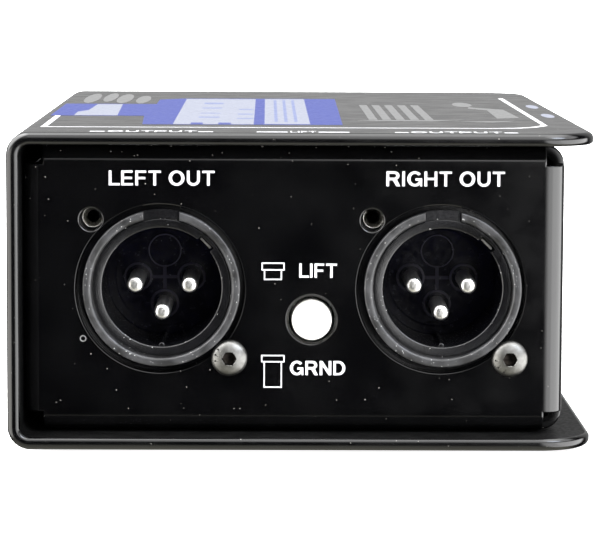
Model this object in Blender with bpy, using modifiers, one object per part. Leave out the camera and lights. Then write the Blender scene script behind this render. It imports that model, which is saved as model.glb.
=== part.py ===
"""Stereo direct injection box: a folded steel sleeve round a folded steel chassis, with two XLR
outputs and a ground-lift button at the front, and four quarter-inch jacks and a pad button at the rear.

Metres, +Z up. The origin is at the centre of the underside. The front, with the XLR outputs, faces -Y.
"""

import math

import bmesh
import bpy
from mathutils import Matrix, Vector

MM = 0.001
CLEAR = 0.2 * MM  # between pieces that rest on each other
BEYOND = 1.0 * MM  # how far a cutter reaches past the faces it opens

# Sheet metal
SHEET = 1.8 * MM
SLEEVE_WIDTH = 84.0 * MM
SLEEVE_DEPTH = 127.0 * MM
SLEEVE_HEIGHT = 45.5 * MM
SLEEVE_BEND = 3.3 * MM  # outer radius of the two folds
SLEEVE_CORNER = 8.0 * MM  # plan radius of the four free corners
PANEL_RECESS = 5.0 * MM  # the sleeve reaches past both connector panels by this
CHASSIS_BEND = 2.8 * MM
CHASSIS_RIGHT = 37.9 * MM  # outer face of the chassis side wall
PANEL_FLANGE = 9.0 * MM  # flat width of the panels' turned-in edges
WALL_FLANGE = 6.0 * MM
RELIEF = 0.3 * MM  # gap between neighbouring turned-in edges
BEND_STEPS = 4

# No-slip pad under the sleeve
PAD_SHEET = 1.0 * MM
PAD_INSET = 7.0 * MM
PAD_CORNER = 5.0 * MM
PAD_HOLE = 4.0 * MM

# Heights
FLOOR = PAD_SHEET  # underside of the sleeve
SLEEVE_TOP = FLOOR + SLEEVE_HEIGHT
AXIS_Z = FLOOR + SLEEVE_HEIGHT / 2  # connector axes
BUTTON_Z = AXIS_Z - 4.4 * MM
BOARD_TOP = AXIS_Z - 10.8 * MM
BOARD_SHEET = 1.6 * MM
CHASSIS_LOW = FLOOR + SHEET + CLEAR
CHASSIS_HIGH = SLEEVE_TOP - SHEET - CLEAR
CHASSIS_LEFT = -SLEEVE_WIDTH / 2 + SHEET + CLEAR
PANEL_Y = SLEEVE_DEPTH / 2 - PANEL_RECESS  # outer face of the rear panel; the front one is at -PANEL_Y

# Front panel layout
XLR_PITCH = 40.4 * MM
XLR_HOLES_X = -0.1 * MM  # middle of the two panel holes
XLR_SHIFT = 0.2 * MM  # the connectors sit this far right and up of their holes
XLR_HOLE = 12.1 * MM
LIFT_X = 1.5 * MM
EAR = 9.95 * MM  # ear holes lie this far across and up from the XLR axis
EAR_HOLE = 1.6 * MM

# XLR connector, measured out of the panel along its own axis
COLLAR = 11.3 * MM
COLLAR_PROUD = 1.4 * MM
COLLAR_EDGE = 0.35 * MM
COLLAR_END = -3.0 * MM
RIM = 10.05 * MM  # inner radius of the raised rim
RIM_FOOT = 0.1 * MM
BORE = 8.6 * MM
BORE_LIP = -0.4 * MM
XLR_FLOOR = -13.8 * MM
INSERT = 9.0 * MM
INSERT_DEPTH = 4.0 * MM
CUP = 10.6 * MM
CUP_END = -18.4 * MM
EAR_PLATE = 12.7 * MM
EAR_SHEET = 2.4 * MM
LATCH_HALF = 2.6 * MM  # the rim is open this far to each side at the top
PIN = 1.2 * MM
PIN_CIRCLE = 3.95 * MM
PIN_TIP = -3.0 * MM
LEAD_BEHIND = {"1": 2.2 * MM, "2": 2.2 * MM, "3": 4.6 * MM}  # leads come down this far behind the cup
LEAD_HOLE = 0.85 * MM

# Rear panel layout
PANEL_MIDDLE_X = (CHASSIS_LEFT + CHASSIS_RIGHT) / 2
JACK_NEAR = 12.6 * MM
JACK_FAR = 28.6 * MM
JACK_HOLE = 5.0 * MM

# Quarter-inch jack
JACK_BORE = 3.25 * MM
BUSHING = 4.7 * MM
BUSHING_PROUD = 3.6 * MM
JACK_HALF_WIDTH = 7.7 * MM
JACK_BOTTOM = -10.4 * MM
JACK_ROOF = 9.0 * MM
JACK_BACK = -27.5 * MM
NUT_ACROSS_FLATS = 12.7 * MM
NUT_SHEET = 2.2 * MM
WASHER = 7.2 * MM
WASHER_SHEET = 0.6 * MM
TIP_LEAD = -28.2 * MM
SLEEVE_LEAD = -14.0 * MM
CONTACT_WIDTH = 3.0 * MM
CONTACT_SHEET = 0.4 * MM

# Latching push switch
BUTTON = 3.0 * MM
BUTTON_PROUD = 1.3 * MM
BUTTON_EDGE = 0.5 * MM
BUTTON_HOLE = 3.3 * MM
BUTTON_TRAVEL = 2.5 * MM
CAP_BACK = -5.5 * MM
SWITCH_FRONT = CAP_BACK - BUTTON_TRAVEL - 0.4 * MM
SWITCH_BACK = -22.4 * MM
SWITCH_HALF_WIDTH = 4.25 * MM
SWITCH_ROOF = 4.2 * MM
SWITCH_WALL = 1.4 * MM
SWITCH_CAVITY = 3.0 * MM
STEM = 1.25 * MM
STEM_FRONT = -1.2 * MM
STEM_BACK = -14.0 * MM
STEM_COLLAR = 2.7 * MM
SPRING_COIL = 2.25 * MM
SPRING_WIRE = 0.2 * MM
SPRING_TURNS = 5

# Screws, number 4
SHANK = 1.35 * MM
SCREW_LENGTH = 6.3 * MM
BUTTON_HEAD = 2.6 * MM
BUTTON_HEAD_HIGH = 1.5 * MM
SOCKET_FLATS = 1.6 * MM
SOCKET_DEEP = 1.0 * MM
SCREW_HOLE = 1.6 * MM
SLEEVE_SCREWS_X = (-27.0 * MM, 20.0 * MM)
SLEEVE_SCREW_Y = 51.0 * MM

# Transformers
CAN_X = 19.5 * MM
CAN_Y = -14.0 * MM
CAN_WIDTH = 24.0 * MM
CAN_DEPTH = 27.0 * MM
CAN_HEIGHT = 20.0 * MM
CAN_SHEET = 0.8 * MM

# Pad resistors
RESISTOR_Y = 12.0 * MM
RESISTOR_SPAN = 5.5 * MM
RESISTOR_LEAD_HOLE = 0.55 * MM

# Circuit board
BOARD_LEFT = -36.0 * MM
BOARD_RIGHT = 34.0 * MM
BOARD_FRONT = -51.5 * MM
BOARD_BACK = 55.5 * MM
LEAD_STICKS_OUT = 1.0 * MM  # below the board

FRONT = (math.radians(90), 0, 0)  # local Z out of the front panel, local Y up
REAR = (math.radians(90), 0, math.radians(180))
DOWN = (math.radians(180), 0, 0)

PARTS = bpy.data.collections.new("direct_injection_box")
CUTTERS = bpy.data.collections.new("cutters")


def clear_scene():
    for obj in list(bpy.data.objects):
        bpy.data.objects.remove(obj, do_unlink=True)
    for collection in (PARTS, CUTTERS):
        bpy.context.scene.collection.children.link(collection)


def material(name, rgb, roughness, metallic=0.0):
    made = bpy.data.materials.new(name)
    made.use_nodes = True
    shader = made.node_tree.nodes["Principled BSDF"]
    shader.inputs["Base Color"].default_value = (*rgb, 1.0)
    shader.inputs["Roughness"].default_value = roughness
    shader.inputs["Metallic"].default_value = metallic
    return made


BLACK_PAINT = material("black_paint", (0.012, 0.012, 0.013), 0.35)
RUBBER = material("rubber", (0.02, 0.02, 0.02), 0.9)
BOARD_GREEN = material("board_green", (0.02, 0.12, 0.05), 0.5)
XLR_PLASTIC = material("xlr_plastic", (0.05, 0.05, 0.055), 0.5)
INSERT_PLASTIC = material("insert_plastic", (0.015, 0.015, 0.02), 0.3)
JACK_PLASTIC = material("jack_plastic", (0.02, 0.02, 0.02), 0.45)
SWITCH_PLASTIC = material("switch_plastic", (0.3, 0.3, 0.3), 0.5)
BUTTON_PLASTIC = material("button_plastic", (0.85, 0.84, 0.8), 0.35)
SILVER = material("silver_plate", (0.85, 0.85, 0.83), 0.2, 1.0)
STAINLESS = material("stainless", (0.55, 0.54, 0.52), 0.35, 1.0)
NICKEL = material("nickel", (0.7, 0.69, 0.66), 0.25, 1.0)
SPRING_STEEL = material("spring_steel", (0.5, 0.5, 0.5), 0.3, 1.0)
CAN_METAL = material("can_metal", (0.55, 0.55, 0.56), 0.4, 1.0)
LAMINATION = material("lamination", (0.2, 0.2, 0.21), 0.5, 1.0)
WINDING = material("winding", (0.6, 0.4, 0.1), 0.6)
RESISTOR = material("resistor", (0.5, 0.35, 0.2), 0.6)


def group(name, where, turn=(0, 0, 0)):
    """An empty that holds the pieces of one assembly, so that they share its place and direction."""
    empty = bpy.data.objects.new(name, None)
    empty.location = where
    empty.rotation_euler = turn
    PARTS.objects.link(empty)
    return empty


def add(name, data, look=None, parent=None):
    """A part if it has a look, and otherwise a cutter or another helper."""
    obj = bpy.data.objects.new(name, data)
    obj.parent = parent
    if look:
        PARTS.objects.link(obj)
        data.materials.append(look)
    else:
        CUTTERS.objects.link(obj)
        obj.hide_render = True
        obj.display_type = "WIRE"
    return obj


def mesh_from(bm, name, smooth=True):
    mesh = bpy.data.meshes.new(name)
    bmesh.ops.recalc_face_normals(bm, faces=bm.faces)
    bm.to_mesh(mesh)
    bm.free()
    if smooth:
        mesh.shade_smooth()
        mesh.set_sharp_from_angle(angle=math.radians(35))
    return mesh


def box(name, low, high, look=None, parent=None, turn=0.0):
    """A box between two corners, turned about its group's Z axis."""
    bm = bmesh.new()
    bmesh.ops.create_cube(bm, size=1.0)
    low, high = Vector(low), Vector(high)
    shape = Matrix.Translation((low + high) / 2) @ Matrix.Diagonal((*(high - low), 1))
    bm.transform(Matrix.Rotation(turn, 4, "Z") @ shape)
    return add(name, mesh_from(bm, name, smooth=False), look, parent)


def cylinder(name, centre, radius, low, high, look=None, parent=None, sides=24, top=None):
    """A cylinder, or a cone to another top radius, along its group's Z axis from low to high."""
    bm = bmesh.new()
    top = radius if top is None else top
    bmesh.ops.create_cone(bm, cap_ends=True, segments=sides, radius1=radius, radius2=top, depth=high - low)
    bm.transform(Matrix.Translation((*centre, (low + high) / 2)))
    return add(name, mesh_from(bm, name), look, parent)


def turned(name, profile, look=None, parent=None, steps=24, centre=(0, 0), ring=False):
    """A profile of (radius, height) turned about Z. It runs down its outer side, and a ring's is closed."""
    mesh = bpy.data.meshes.new(name)
    count = len(profile)
    edges = [(i, (i + 1) % count) for i in range(count if ring else count - 1)]
    mesh.from_pydata([(radius, 0, height) for radius, height in profile], edges, [])
    obj = add(name, mesh, look, parent)
    obj.location = (*centre, 0)
    screw = obj.modifiers.new("turn", "SCREW")
    screw.steps = screw.render_steps = steps
    screw.use_merge_vertices = True
    screw.merge_threshold = 1e-6
    screw.use_smooth_shade = False
    return obj


def wire(name, points, radius, look, parent, shares=None, fineness=1):
    """A round wire through points, with a share of its full radius at each."""
    curve = bpy.data.curves.new(name, "CURVE")
    curve.dimensions = "3D"
    curve.bevel_depth = radius
    curve.bevel_resolution = fineness
    curve.use_fill_caps = True
    spline = curve.splines.new("POLY")
    spline.points.add(len(points) - 1)
    for point, where, share in zip(spline.points, points, shares or [1.0] * len(points)):
        point.co = (*where, 1)
        point.radius = share
    return add(name, curve, look, parent)


def strip(name, path, look, parent):
    """A contact strip across X that follows a path of (Z, Y)."""
    bm = bmesh.new()
    half = CONTACT_WIDTH / 2
    rows = [[bm.verts.new((x, y, z)) for x in (-half, half)] for z, y in path]
    for first, second in zip(rows, rows[1:]):
        bm.faces.new((first[0], first[1], second[1], second[0]))
    obj = add(name, mesh_from(bm, name, smooth=False), look, parent)
    return thicken(obj, CONTACT_SHEET, 0)


def thicken(obj, sheet, side):
    solid = obj.modifiers.new("sheet", "SOLIDIFY")
    solid.thickness = sheet
    solid.offset = side
    solid.use_even_offset = True
    return obj


def combine(obj, operation, *others):
    for other in others:
        boolean = obj.modifiers.new(other.name, "BOOLEAN")
        boolean.operation = operation
        boolean.object = other
    return obj


def join(obj, *others):
    return combine(obj, "UNION", *others)


def cut(obj, *cutters):
    return combine(obj, "DIFFERENCE", *cutters)


def cut_all(obj, name, cutters):
    """Cuts many holes with one Boolean, from a collection of cutters that don't touch each other."""
    holder = bpy.data.collections.new(name)
    CUTTERS.children.link(holder)
    for cutter in cutters:
        CUTTERS.objects.unlink(cutter)
        holder.objects.link(cutter)
    boolean = obj.modifiers.new(name, "BOOLEAN")
    boolean.operation = "DIFFERENCE"
    boolean.operand_type = "COLLECTION"
    boolean.collection = holder
    return obj


def fold(bm, ends, out, inward, radius, flat=0.0, trims=(0.0, 0.0)):
    """Folds the outer skin of a sheet off one edge, then on along inward, trimming the free edge's ends."""
    ends = [Vector(end) for end in ends]
    out, inward = Vector(out), Vector(inward)
    along = (ends[1] - ends[0]).normalized()
    rows = []
    for step in range(BEND_STEPS + 1):
        angle = math.radians(90) * step / BEND_STEPS
        move = out * radius * math.sin(angle) + inward * radius * (1 - math.cos(angle))
        rows.append([end + move for end in ends])
    if flat:
        first, second = (end + inward * flat for end in rows[-1])
        rows.append([first + along * trims[0], second - along * trims[1]])
    for near, far in zip(rows, rows[1:]):
        bm.faces.new([bm.verts.new(p) for p in (near[0], near[1], far[1], far[0])])


def flat_face(bm, corners):
    bm.faces.new([bm.verts.new(corner) for corner in corners])


def folded_sheet(name, bm, outward_face, outward):
    """Joins the folded skin's faces and thickens them inwards. One of its faces is known to face outwards."""
    bmesh.ops.remove_doubles(bm, verts=bm.verts, dist=1e-6)
    mesh = mesh_from(bm, name)
    known = max(mesh.polygons, key=lambda face: face.center.dot(Vector(outward_face)))
    side = -1 if known.normal.dot(Vector(outward)) > 0 else 1
    return thicken(add(name, mesh, BLACK_PAINT), SHEET, side)


def sleeve_plate(z, steps=6):
    """Outline of the flat part of the top or bottom plate, with its two right-hand corners rounded."""
    left, right, back = SLEEVE_BEND - SLEEVE_WIDTH / 2, SLEEVE_WIDTH / 2, SLEEVE_DEPTH / 2
    points = [(left, back, z)]
    centre_x, centre_y = right - SLEEVE_CORNER, back - SLEEVE_CORNER
    for side, start in ((1, 90), (-1, 0)):
        for step in range(steps + 1):
            angle = math.radians(start - 90 * step / steps)
            x = centre_x + SLEEVE_CORNER * math.cos(angle)
            points.append((x, side * centre_y + SLEEVE_CORNER * math.sin(angle), z))
    points.append((left, -back, z))
    return points


def outer_sleeve():
    """The C-shaped sleeve: top plate, left wall and bottom plate, open at the right and at both ends."""
    bm = bmesh.new()
    left, half = -SLEEVE_WIDTH / 2, SLEEVE_DEPTH / 2
    for z, up in ((SLEEVE_TOP, 1), (FLOOR, -1)):
        plate = sleeve_plate(z)
        flat_face(bm, plate)
        fold(bm, (plate[0], plate[-1]), (-1, 0, 0), (0, 0, -up), SLEEVE_BEND)
    low, high = FLOOR + SLEEVE_BEND, SLEEVE_TOP - SLEEVE_BEND
    flat_face(bm, [(left, -half, low), (left, half, low), (left, half, high), (left, -half, high)])
    return folded_sheet("outer_sleeve", bm, (0, 0, 1), (0, 0, 1))


def inner_chassis():
    """Front panel, side wall and rear panel in one sheet, with turned-in edges and open corners."""
    left, right = CHASSIS_LEFT + CHASSIS_BEND, CHASSIS_RIGHT - CHASSIS_BEND
    low, high = CHASSIS_LOW + CHASSIS_BEND, CHASSIS_HIGH - CHASSIS_BEND
    front = -PANEL_Y
    wall_front = front + CHASSIS_BEND
    inward = (0, 1, 0)
    bm = bmesh.new()
    flat_face(bm, [(left, front, low), (right, front, low), (right, front, high), (left, front, high)])
    for z, up in ((high, 1), (low, -1)):
        edge = ((left, front, z), (right, front, z))
        fold(bm, edge, (0, 0, up), inward, CHASSIS_BEND, PANEL_FLANGE, (0, PANEL_FLANGE))
    fold(bm, ((left, front, low), (left, front, high)), (-1, 0, 0), inward, CHASSIS_BEND, PANEL_FLANGE)
    fold(bm, ((right, front, low), (right, front, high)), (1, 0, 0), inward, CHASSIS_BEND)
    wall_flange_front = wall_front + RELIEF
    upward = [(wall_front, low), (wall_flange_front, low), (0, low)]
    downward = [(y, high) for y, _ in reversed(upward)]
    flat_face(bm, [(CHASSIS_RIGHT, y, z) for y, z in upward + downward])
    for z, up in ((high, 1), (low, -1)):
        edge = ((CHASSIS_RIGHT, wall_flange_front, z), (CHASSIS_RIGHT, 0, z))
        fold(bm, edge, (0, 0, up), (-1, 0, 0), CHASSIS_BEND, WALL_FLANGE, (WALL_FLANGE, 0))
    chassis = folded_sheet("inner_chassis", bm, (0, -1, 0), (0, -1, 0))
    mirror = chassis.modifiers.new("rear_half", "MIRROR")
    mirror.use_axis = (False, True, False)
    mirror.merge_threshold = 1e-5
    chassis.modifiers.move(1, 0)
    return chassis


def sleeve_screw_places():
    """Name and place of the four screws that hold the sleeve to the chassis, from below."""
    for end, y in (("front", -SLEEVE_SCREW_Y), ("rear", SLEEVE_SCREW_Y)):
        for side, x in zip(("left", "right"), SLEEVE_SCREWS_X):
            yield f"sleeve_screw_{end}_{side}", (x, y, FLOOR)


def no_slip_pad():
    """Rubber sheet under the sleeve, with a hole under each screw."""
    thickness = PAD_SHEET - CLEAR
    bm = bmesh.new()
    bmesh.ops.create_cube(bm, size=1.0)
    bm.transform(Matrix.Diagonal((SLEEVE_WIDTH - 2 * PAD_INSET, SLEEVE_DEPTH - 2 * PAD_INSET, thickness, 1)))
    upright = [e for e in bm.edges if abs(e.verts[0].co.z - e.verts[1].co.z) > thickness / 2]
    bmesh.ops.bevel(bm, geom=upright, offset=PAD_CORNER, segments=5, profile=0.5, affect="EDGES")
    pad = add("no_slip_pad", mesh_from(bm, "no_slip_pad"), RUBBER)
    pad.location.z = thickness / 2
    holes = [
        cylinder(f"{name}_pad_hole", (x, y), PAD_HOLE, -BEYOND, PAD_SHEET + BEYOND, sides=20)
        for name, (x, y, _) in sleeve_screw_places()
    ]
    return cut_all(pad, "pad_holes", holes)


def socket_cutter(name, parent, top, centre=(0, 0)):
    """Hexagonal recess for a hex key."""
    across_corners = SOCKET_FLATS / math.cos(math.radians(30))
    return cylinder(name, centre, across_corners / 2, top - SOCKET_DEEP, top + BEYOND, parent=parent, sides=6)


def flat_head_screw(name, parent):
    """Countersunk hex-socket screw, its head just below the sleeve's outer face."""
    head, top = 2.6 * MM, -0.1 * MM
    profile = [(0, top), (head, top), (head, -0.3 * MM), (SHANK, -1.55 * MM)]
    profile += [(SHANK, 0.4 * MM - SCREW_LENGTH), (SHANK - 0.35 * MM, -SCREW_LENGTH), (0, -SCREW_LENGTH)]
    screw = turned(name, profile, STAINLESS, parent, steps=16)
    return cut(screw, socket_cutter(f"{name}_socket", parent, top))


def countersink(name, parent):
    """Cutter for a flat-head screw's seat in the sleeve."""
    end = -SHEET - BEYOND
    profile = [(0, BEYOND), (3.9 * MM, BEYOND), (SCREW_HOLE, -1.3 * MM), (SCREW_HOLE, end), (0, end)]
    return turned(name, profile, parent=parent, steps=16)


def button_head_screw(name, parent, centre):
    """Domed hex-socket screw, its head resting on the panel."""
    top = CLEAR + BUTTON_HEAD_HIGH
    rim = 0.2 * MM
    profile = [(0, top)]
    for degrees in range(15, 90, 15):
        angle = math.radians(degrees)
        height = CLEAR + rim + (BUTTON_HEAD_HIGH - rim) * math.cos(angle)
        profile.append((BUTTON_HEAD * math.sin(angle), height))
    profile += [(BUTTON_HEAD, CLEAR + rim), (BUTTON_HEAD, CLEAR), (SHANK, CLEAR)]
    profile += [(SHANK, 0.4 * MM - SCREW_LENGTH), (SHANK - 0.35 * MM, -SCREW_LENGTH), (0, -SCREW_LENGTH)]
    screw = turned(name, profile, STAINLESS, parent, steps=20, centre=centre)
    return cut(screw, socket_cutter(f"{name}_socket", parent, top, centre))


def xlr_places():
    """Side and place along X of the two XLR holes in the front panel."""
    return {"left": XLR_HOLES_X - XLR_PITCH / 2, "right": XLR_HOLES_X + XLR_PITCH / 2}


def pin_places():
    """Across and up from the XLR axis: pin 1 at the left, pin 2 at the right, pin 3 below."""
    return {"1": (-PIN_CIRCLE, 0.0), "2": (PIN_CIRCLE, 0.0), "3": (0.0, -PIN_CIRCLE)}


def xlr_housing(name, parent):
    """Collar, ear plate and cup in one moulding, open through the middle."""
    seat = INSERT + CLEAR
    profile = [
        (RIM, COLLAR_PROUD),
        (COLLAR - COLLAR_EDGE, COLLAR_PROUD),
        (COLLAR, COLLAR_PROUD - COLLAR_EDGE),
        (COLLAR, COLLAR_END),
        (CUP, COLLAR_END),
        (CUP, CUP_END),
        (seat, CUP_END),
        (seat, XLR_FLOOR),
        (BORE, XLR_FLOOR),
        (BORE, BORE_LIP),
        (RIM, RIM_FOOT),
    ]
    housing = turned(name, profile, XLR_PLASTIC, parent, steps=36, ring=True)
    plate_front = -SHEET - CLEAR
    plate_back = plate_front - EAR_SHEET
    corner = (EAR_PLATE, EAR_PLATE, plate_front)
    plate = box(f"{name}_ear_plate", (-EAR_PLATE, -EAR_PLATE, plate_back), corner, parent=parent)
    middle = (BORE + CUP) / 2
    cut(plate, cylinder(f"{name}_ear_plate_hole", (0, 0), middle, plate_back - BEYOND, 0, parent=parent))
    key_low = (-0.6 * MM, -BORE - 0.8 * MM, XLR_FLOOR + CLEAR)
    key = box(f"{name}_key", key_low, (0.6 * MM, -BORE + 0.9 * MM, -1.2 * MM), parent=parent)
    join(housing, plate, key)

    latch_low = (-LATCH_HALF, BORE + 0.3 * MM, RIM_FOOT)
    latch_high = (LATCH_HALF, COLLAR + BEYOND, COLLAR_PROUD + BEYOND)
    latch = box(f"{name}_latch_gap", latch_low, latch_high, parent=parent)
    window_low = (-2.2 * MM, BORE - BEYOND, -6.0 * MM)
    window = box(f"{name}_latch_window", window_low, (2.2 * MM, CUP - 0.7 * MM, -2.6 * MM), parent=parent)
    slot_low, slot_high = (BORE - 0.4 * MM, -1.3 * MM, -11 * MM), (BORE + 0.75 * MM, 1.3 * MM, BEYOND)
    slot = box(f"{name}_spring_slot", slot_low, slot_high, parent=parent, turn=math.radians(45))
    reach = (plate_back - BEYOND, plate_front + BEYOND)
    used = cylinder(f"{name}_used_ear", (EAR, -EAR), EAR_HOLE + 0.15 * MM, *reach, parent=parent, sides=16)
    spare = cylinder(f"{name}_spare_ear", (-EAR, EAR), 1.0 * MM, *reach, None, parent, 16, top=1.7 * MM)
    return cut_all(housing, f"{name}_cuts", [latch, window, slot, used, spare])


def xlr_pin(name, number, parent):
    """Turned contact with a domed tip. Its thin lead bends down behind the cup and through the board."""
    across, up = pin_places()[number]
    lead = 0.45
    behind = CUP_END - LEAD_BEHIND[number]
    below_board = BOARD_TOP - BOARD_SHEET - LEAD_STICKS_OUT - AXIS_Z - XLR_SHIFT
    along = [
        (PIN_TIP, 0.35),
        (PIN_TIP - 0.15 * MM, 0.7),
        (PIN_TIP - 0.5 * MM, 0.93),
        (PIN_TIP - 1.0 * MM, 1.0),
        (CUP_END + 0.5 * MM, 1.0),
        (CUP_END + 0.4 * MM, lead),
        (behind + 0.5 * MM, lead),
    ]
    points = [(across, up, z) for z, _ in along]
    points += [(across, up - 0.15 * MM, behind + 0.15 * MM), (across, up - 0.5 * MM, behind)]
    points.append((across, below_board, behind))
    shares = [share for _, share in along] + [lead] * 3
    return wire(name, points, PIN, SILVER, parent, shares)


def xlr_output(side, x):
    """One output connector with its insert, pins, shell contact and fixing screw."""
    at = group(f"{side}_output", (x + XLR_SHIFT, -PANEL_Y, AXIS_Z + XLR_SHIFT), FRONT)
    xlr_housing(f"{side}_xlr_housing", at)
    face = XLR_FLOOR - CLEAR
    reach = (face - INSERT_DEPTH, face)
    insert = cylinder(f"{side}_xlr_insert", (0, 0), INSERT, *reach, INSERT_PLASTIC, at, sides=36)
    holes = []
    for number, centre in pin_places().items():
        xlr_pin(f"{side}_xlr_pin_{number}", number, at)
        reach = (face - INSERT_DEPTH - BEYOND, face + BEYOND)
        holes.append(cylinder(f"{side}_pin_hole_{number}", centre, PIN + CLEAR, *reach, parent=at, sides=12))
    cut_all(insert, f"{side}_pin_holes", holes)
    low, high = (BORE + 0.2 * MM, -1.0 * MM, -10.5 * MM), (BORE + 0.5 * MM, 1.0 * MM, -0.7 * MM)
    box(f"{side}_xlr_shell_contact", low, high, SPRING_STEEL, at, turn=math.radians(45))
    button_head_screw(f"{side}_xlr_screw", at, (EAR - XLR_SHIFT, -EAR - XLR_SHIFT))


def push_switch(name, at):
    """Latching push switch: cap, stem and return spring, in a closed body that stands on the board."""
    cap_profile = [
        (0, BUTTON_PROUD),
        (BUTTON - BUTTON_EDGE, BUTTON_PROUD),
        (BUTTON - 0.3 * BUTTON_EDGE, BUTTON_PROUD - 0.3 * BUTTON_EDGE),
        (BUTTON, BUTTON_PROUD - BUTTON_EDGE),
        (BUTTON, CAP_BACK),
        (0, CAP_BACK),
    ]
    cap = turned(f"{name}_cap", cap_profile, BUTTON_PLASTIC, at, steps=28)
    room = STEM + CLEAR
    high = (room, room, STEM_FRONT + CLEAR)
    cut(cap, box(f"{name}_cap_socket", (-room, -room, CAP_BACK - BEYOND), high, parent=at))

    cavity_front, cavity_back = SWITCH_FRONT - SWITCH_WALL, SWITCH_BACK + SWITCH_WALL
    collar_front = cavity_front - CLEAR
    collar_back = collar_front - 1.2 * MM
    stem = box(f"{name}_stem", (-STEM, -STEM, STEM_BACK), (STEM, STEM, STEM_FRONT), SWITCH_PLASTIC, at)
    reach = (collar_back, collar_front)
    join(stem, cylinder(f"{name}_stem_collar", (0, 0), STEM_COLLAR, *reach, parent=at, sides=20))

    low = (-SWITCH_HALF_WIDTH, BOARD_TOP + CLEAR - BUTTON_Z, SWITCH_BACK)
    body = box(f"{name}_body", low, (SWITCH_HALF_WIDTH, SWITCH_ROOF, SWITCH_FRONT), SWITCH_PLASTIC, at)
    cavity = cylinder(f"{name}_cavity", (0, 0), SWITCH_CAVITY, cavity_back, cavity_front, parent=at, sides=20)
    mouth = (cavity_front - BEYOND, SWITCH_FRONT + BEYOND)
    cut(body, cavity, cylinder(f"{name}_mouth", (0, 0), 1.95 * MM, *mouth, parent=at, sides=20))

    per_turn = 8
    end_gap = SPRING_WIRE + CLEAR
    start, length = cavity_back + end_gap, collar_back - cavity_back - 2 * end_gap
    points = []
    for i in range(SPRING_TURNS * per_turn + 1):
        angle = math.tau * i / per_turn
        rise = start + length * i / (SPRING_TURNS * per_turn)
        points.append((SPRING_COIL * math.cos(angle), SPRING_COIL * math.sin(angle), rise))
    wire(f"{name}_spring", points, SPRING_WIRE, SPRING_STEEL, at, fineness=0)


def jack_places():
    """Name and place along X of the four jacks. Seen from the rear, the left channel is at the left."""
    return {
        "left_thru_jack": PANEL_MIDDLE_X + JACK_FAR,
        "left_input_jack": PANEL_MIDDLE_X + JACK_NEAR,
        "right_input_jack": PANEL_MIDDLE_X - JACK_NEAR,
        "right_thru_jack": PANEL_MIDDLE_X - JACK_FAR,
    }


def jack(name, x):
    """Quarter-inch jack: a bored plastic body with a threaded bushing, washer, nut and two contacts."""
    at = group(name, (x, PANEL_Y, AXIS_Z), REAR)
    front = -SHEET - CLEAR
    low, high = (-JACK_HALF_WIDTH, JACK_BOTTOM, JACK_BACK), (JACK_HALF_WIDTH, JACK_ROOF, front)
    body = box(f"{name}_body", low, high, JACK_PLASTIC, at)
    reach = (front - BEYOND, BUSHING_PROUD)
    join(body, cylinder(f"{name}_bushing", (0, 0), BUSHING, *reach, parent=at, sides=28))
    reach = (JACK_BACK - BEYOND, BUSHING_PROUD + BEYOND)
    cut(body, cylinder(f"{name}_bore", (0, 0), JACK_BORE, *reach, parent=at, sides=28))
    low, high = (-2.2 * MM, 2.0 * MM, JACK_BACK - BEYOND), (2.2 * MM, JACK_ROOF + BEYOND, -16.0 * MM)
    tip_slot = box(f"{name}_tip_slot", low, high, parent=at)
    low, high = (-2.2 * MM, JACK_BOTTOM - BEYOND, -15.5 * MM), (2.2 * MM, -2.0 * MM, -5.0 * MM)
    sleeve_slot = box(f"{name}_sleeve_slot", low, high, parent=at)
    cut_all(body, f"{name}_slots", [tip_slot, sleeve_slot])

    washer_top = CLEAR + WASHER_SHEET
    washer_hole = BUSHING + 0.3 * MM
    washer = [(WASHER, washer_top), (WASHER, CLEAR), (washer_hole, CLEAR), (washer_hole, washer_top)]
    turned(f"{name}_washer", washer, NICKEL, at, ring=True)
    nut_low = washer_top + CLEAR / 2
    nut_high = nut_low + NUT_SHEET
    corner = NUT_ACROSS_FLATS / 2 / math.cos(math.radians(30))
    nut = cylinder(f"{name}_nut", (0, 0), corner, nut_low, nut_high, NICKEL, at, sides=6)
    reach = (nut_low - BEYOND, nut_high + BEYOND)
    cut(nut, cylinder(f"{name}_nut_hole", (0, 0), BUSHING + CLEAR, *reach, parent=at, sides=28))

    below_board = BOARD_TOP - BOARD_SHEET - LEAD_STICKS_OUT - AXIS_Z
    tip = [(-28.2, 5.2), (-27.2, 6.2), (-25.6, 5.6), (-22.8, 2.7), (-22.2, 2.7), (-19.0, 5.4)]
    tip_path = [(TIP_LEAD, below_board), *((z * MM, y * MM) for z, y in tip)]
    strip(f"{name}_tip_contact", tip_path, SPRING_STEEL, at)
    sleeve = [(-14.0, -6.6), (-13.2, -5.7), (-10.3, -2.95), (-9.7, -2.95), (-7.2, -4.6)]
    sleeve_path = [(SLEEVE_LEAD, below_board), *((z * MM, y * MM) for z, y in sleeve)]
    strip(f"{name}_sleeve_contact", sleeve_path, SPRING_STEEL, at)


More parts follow.
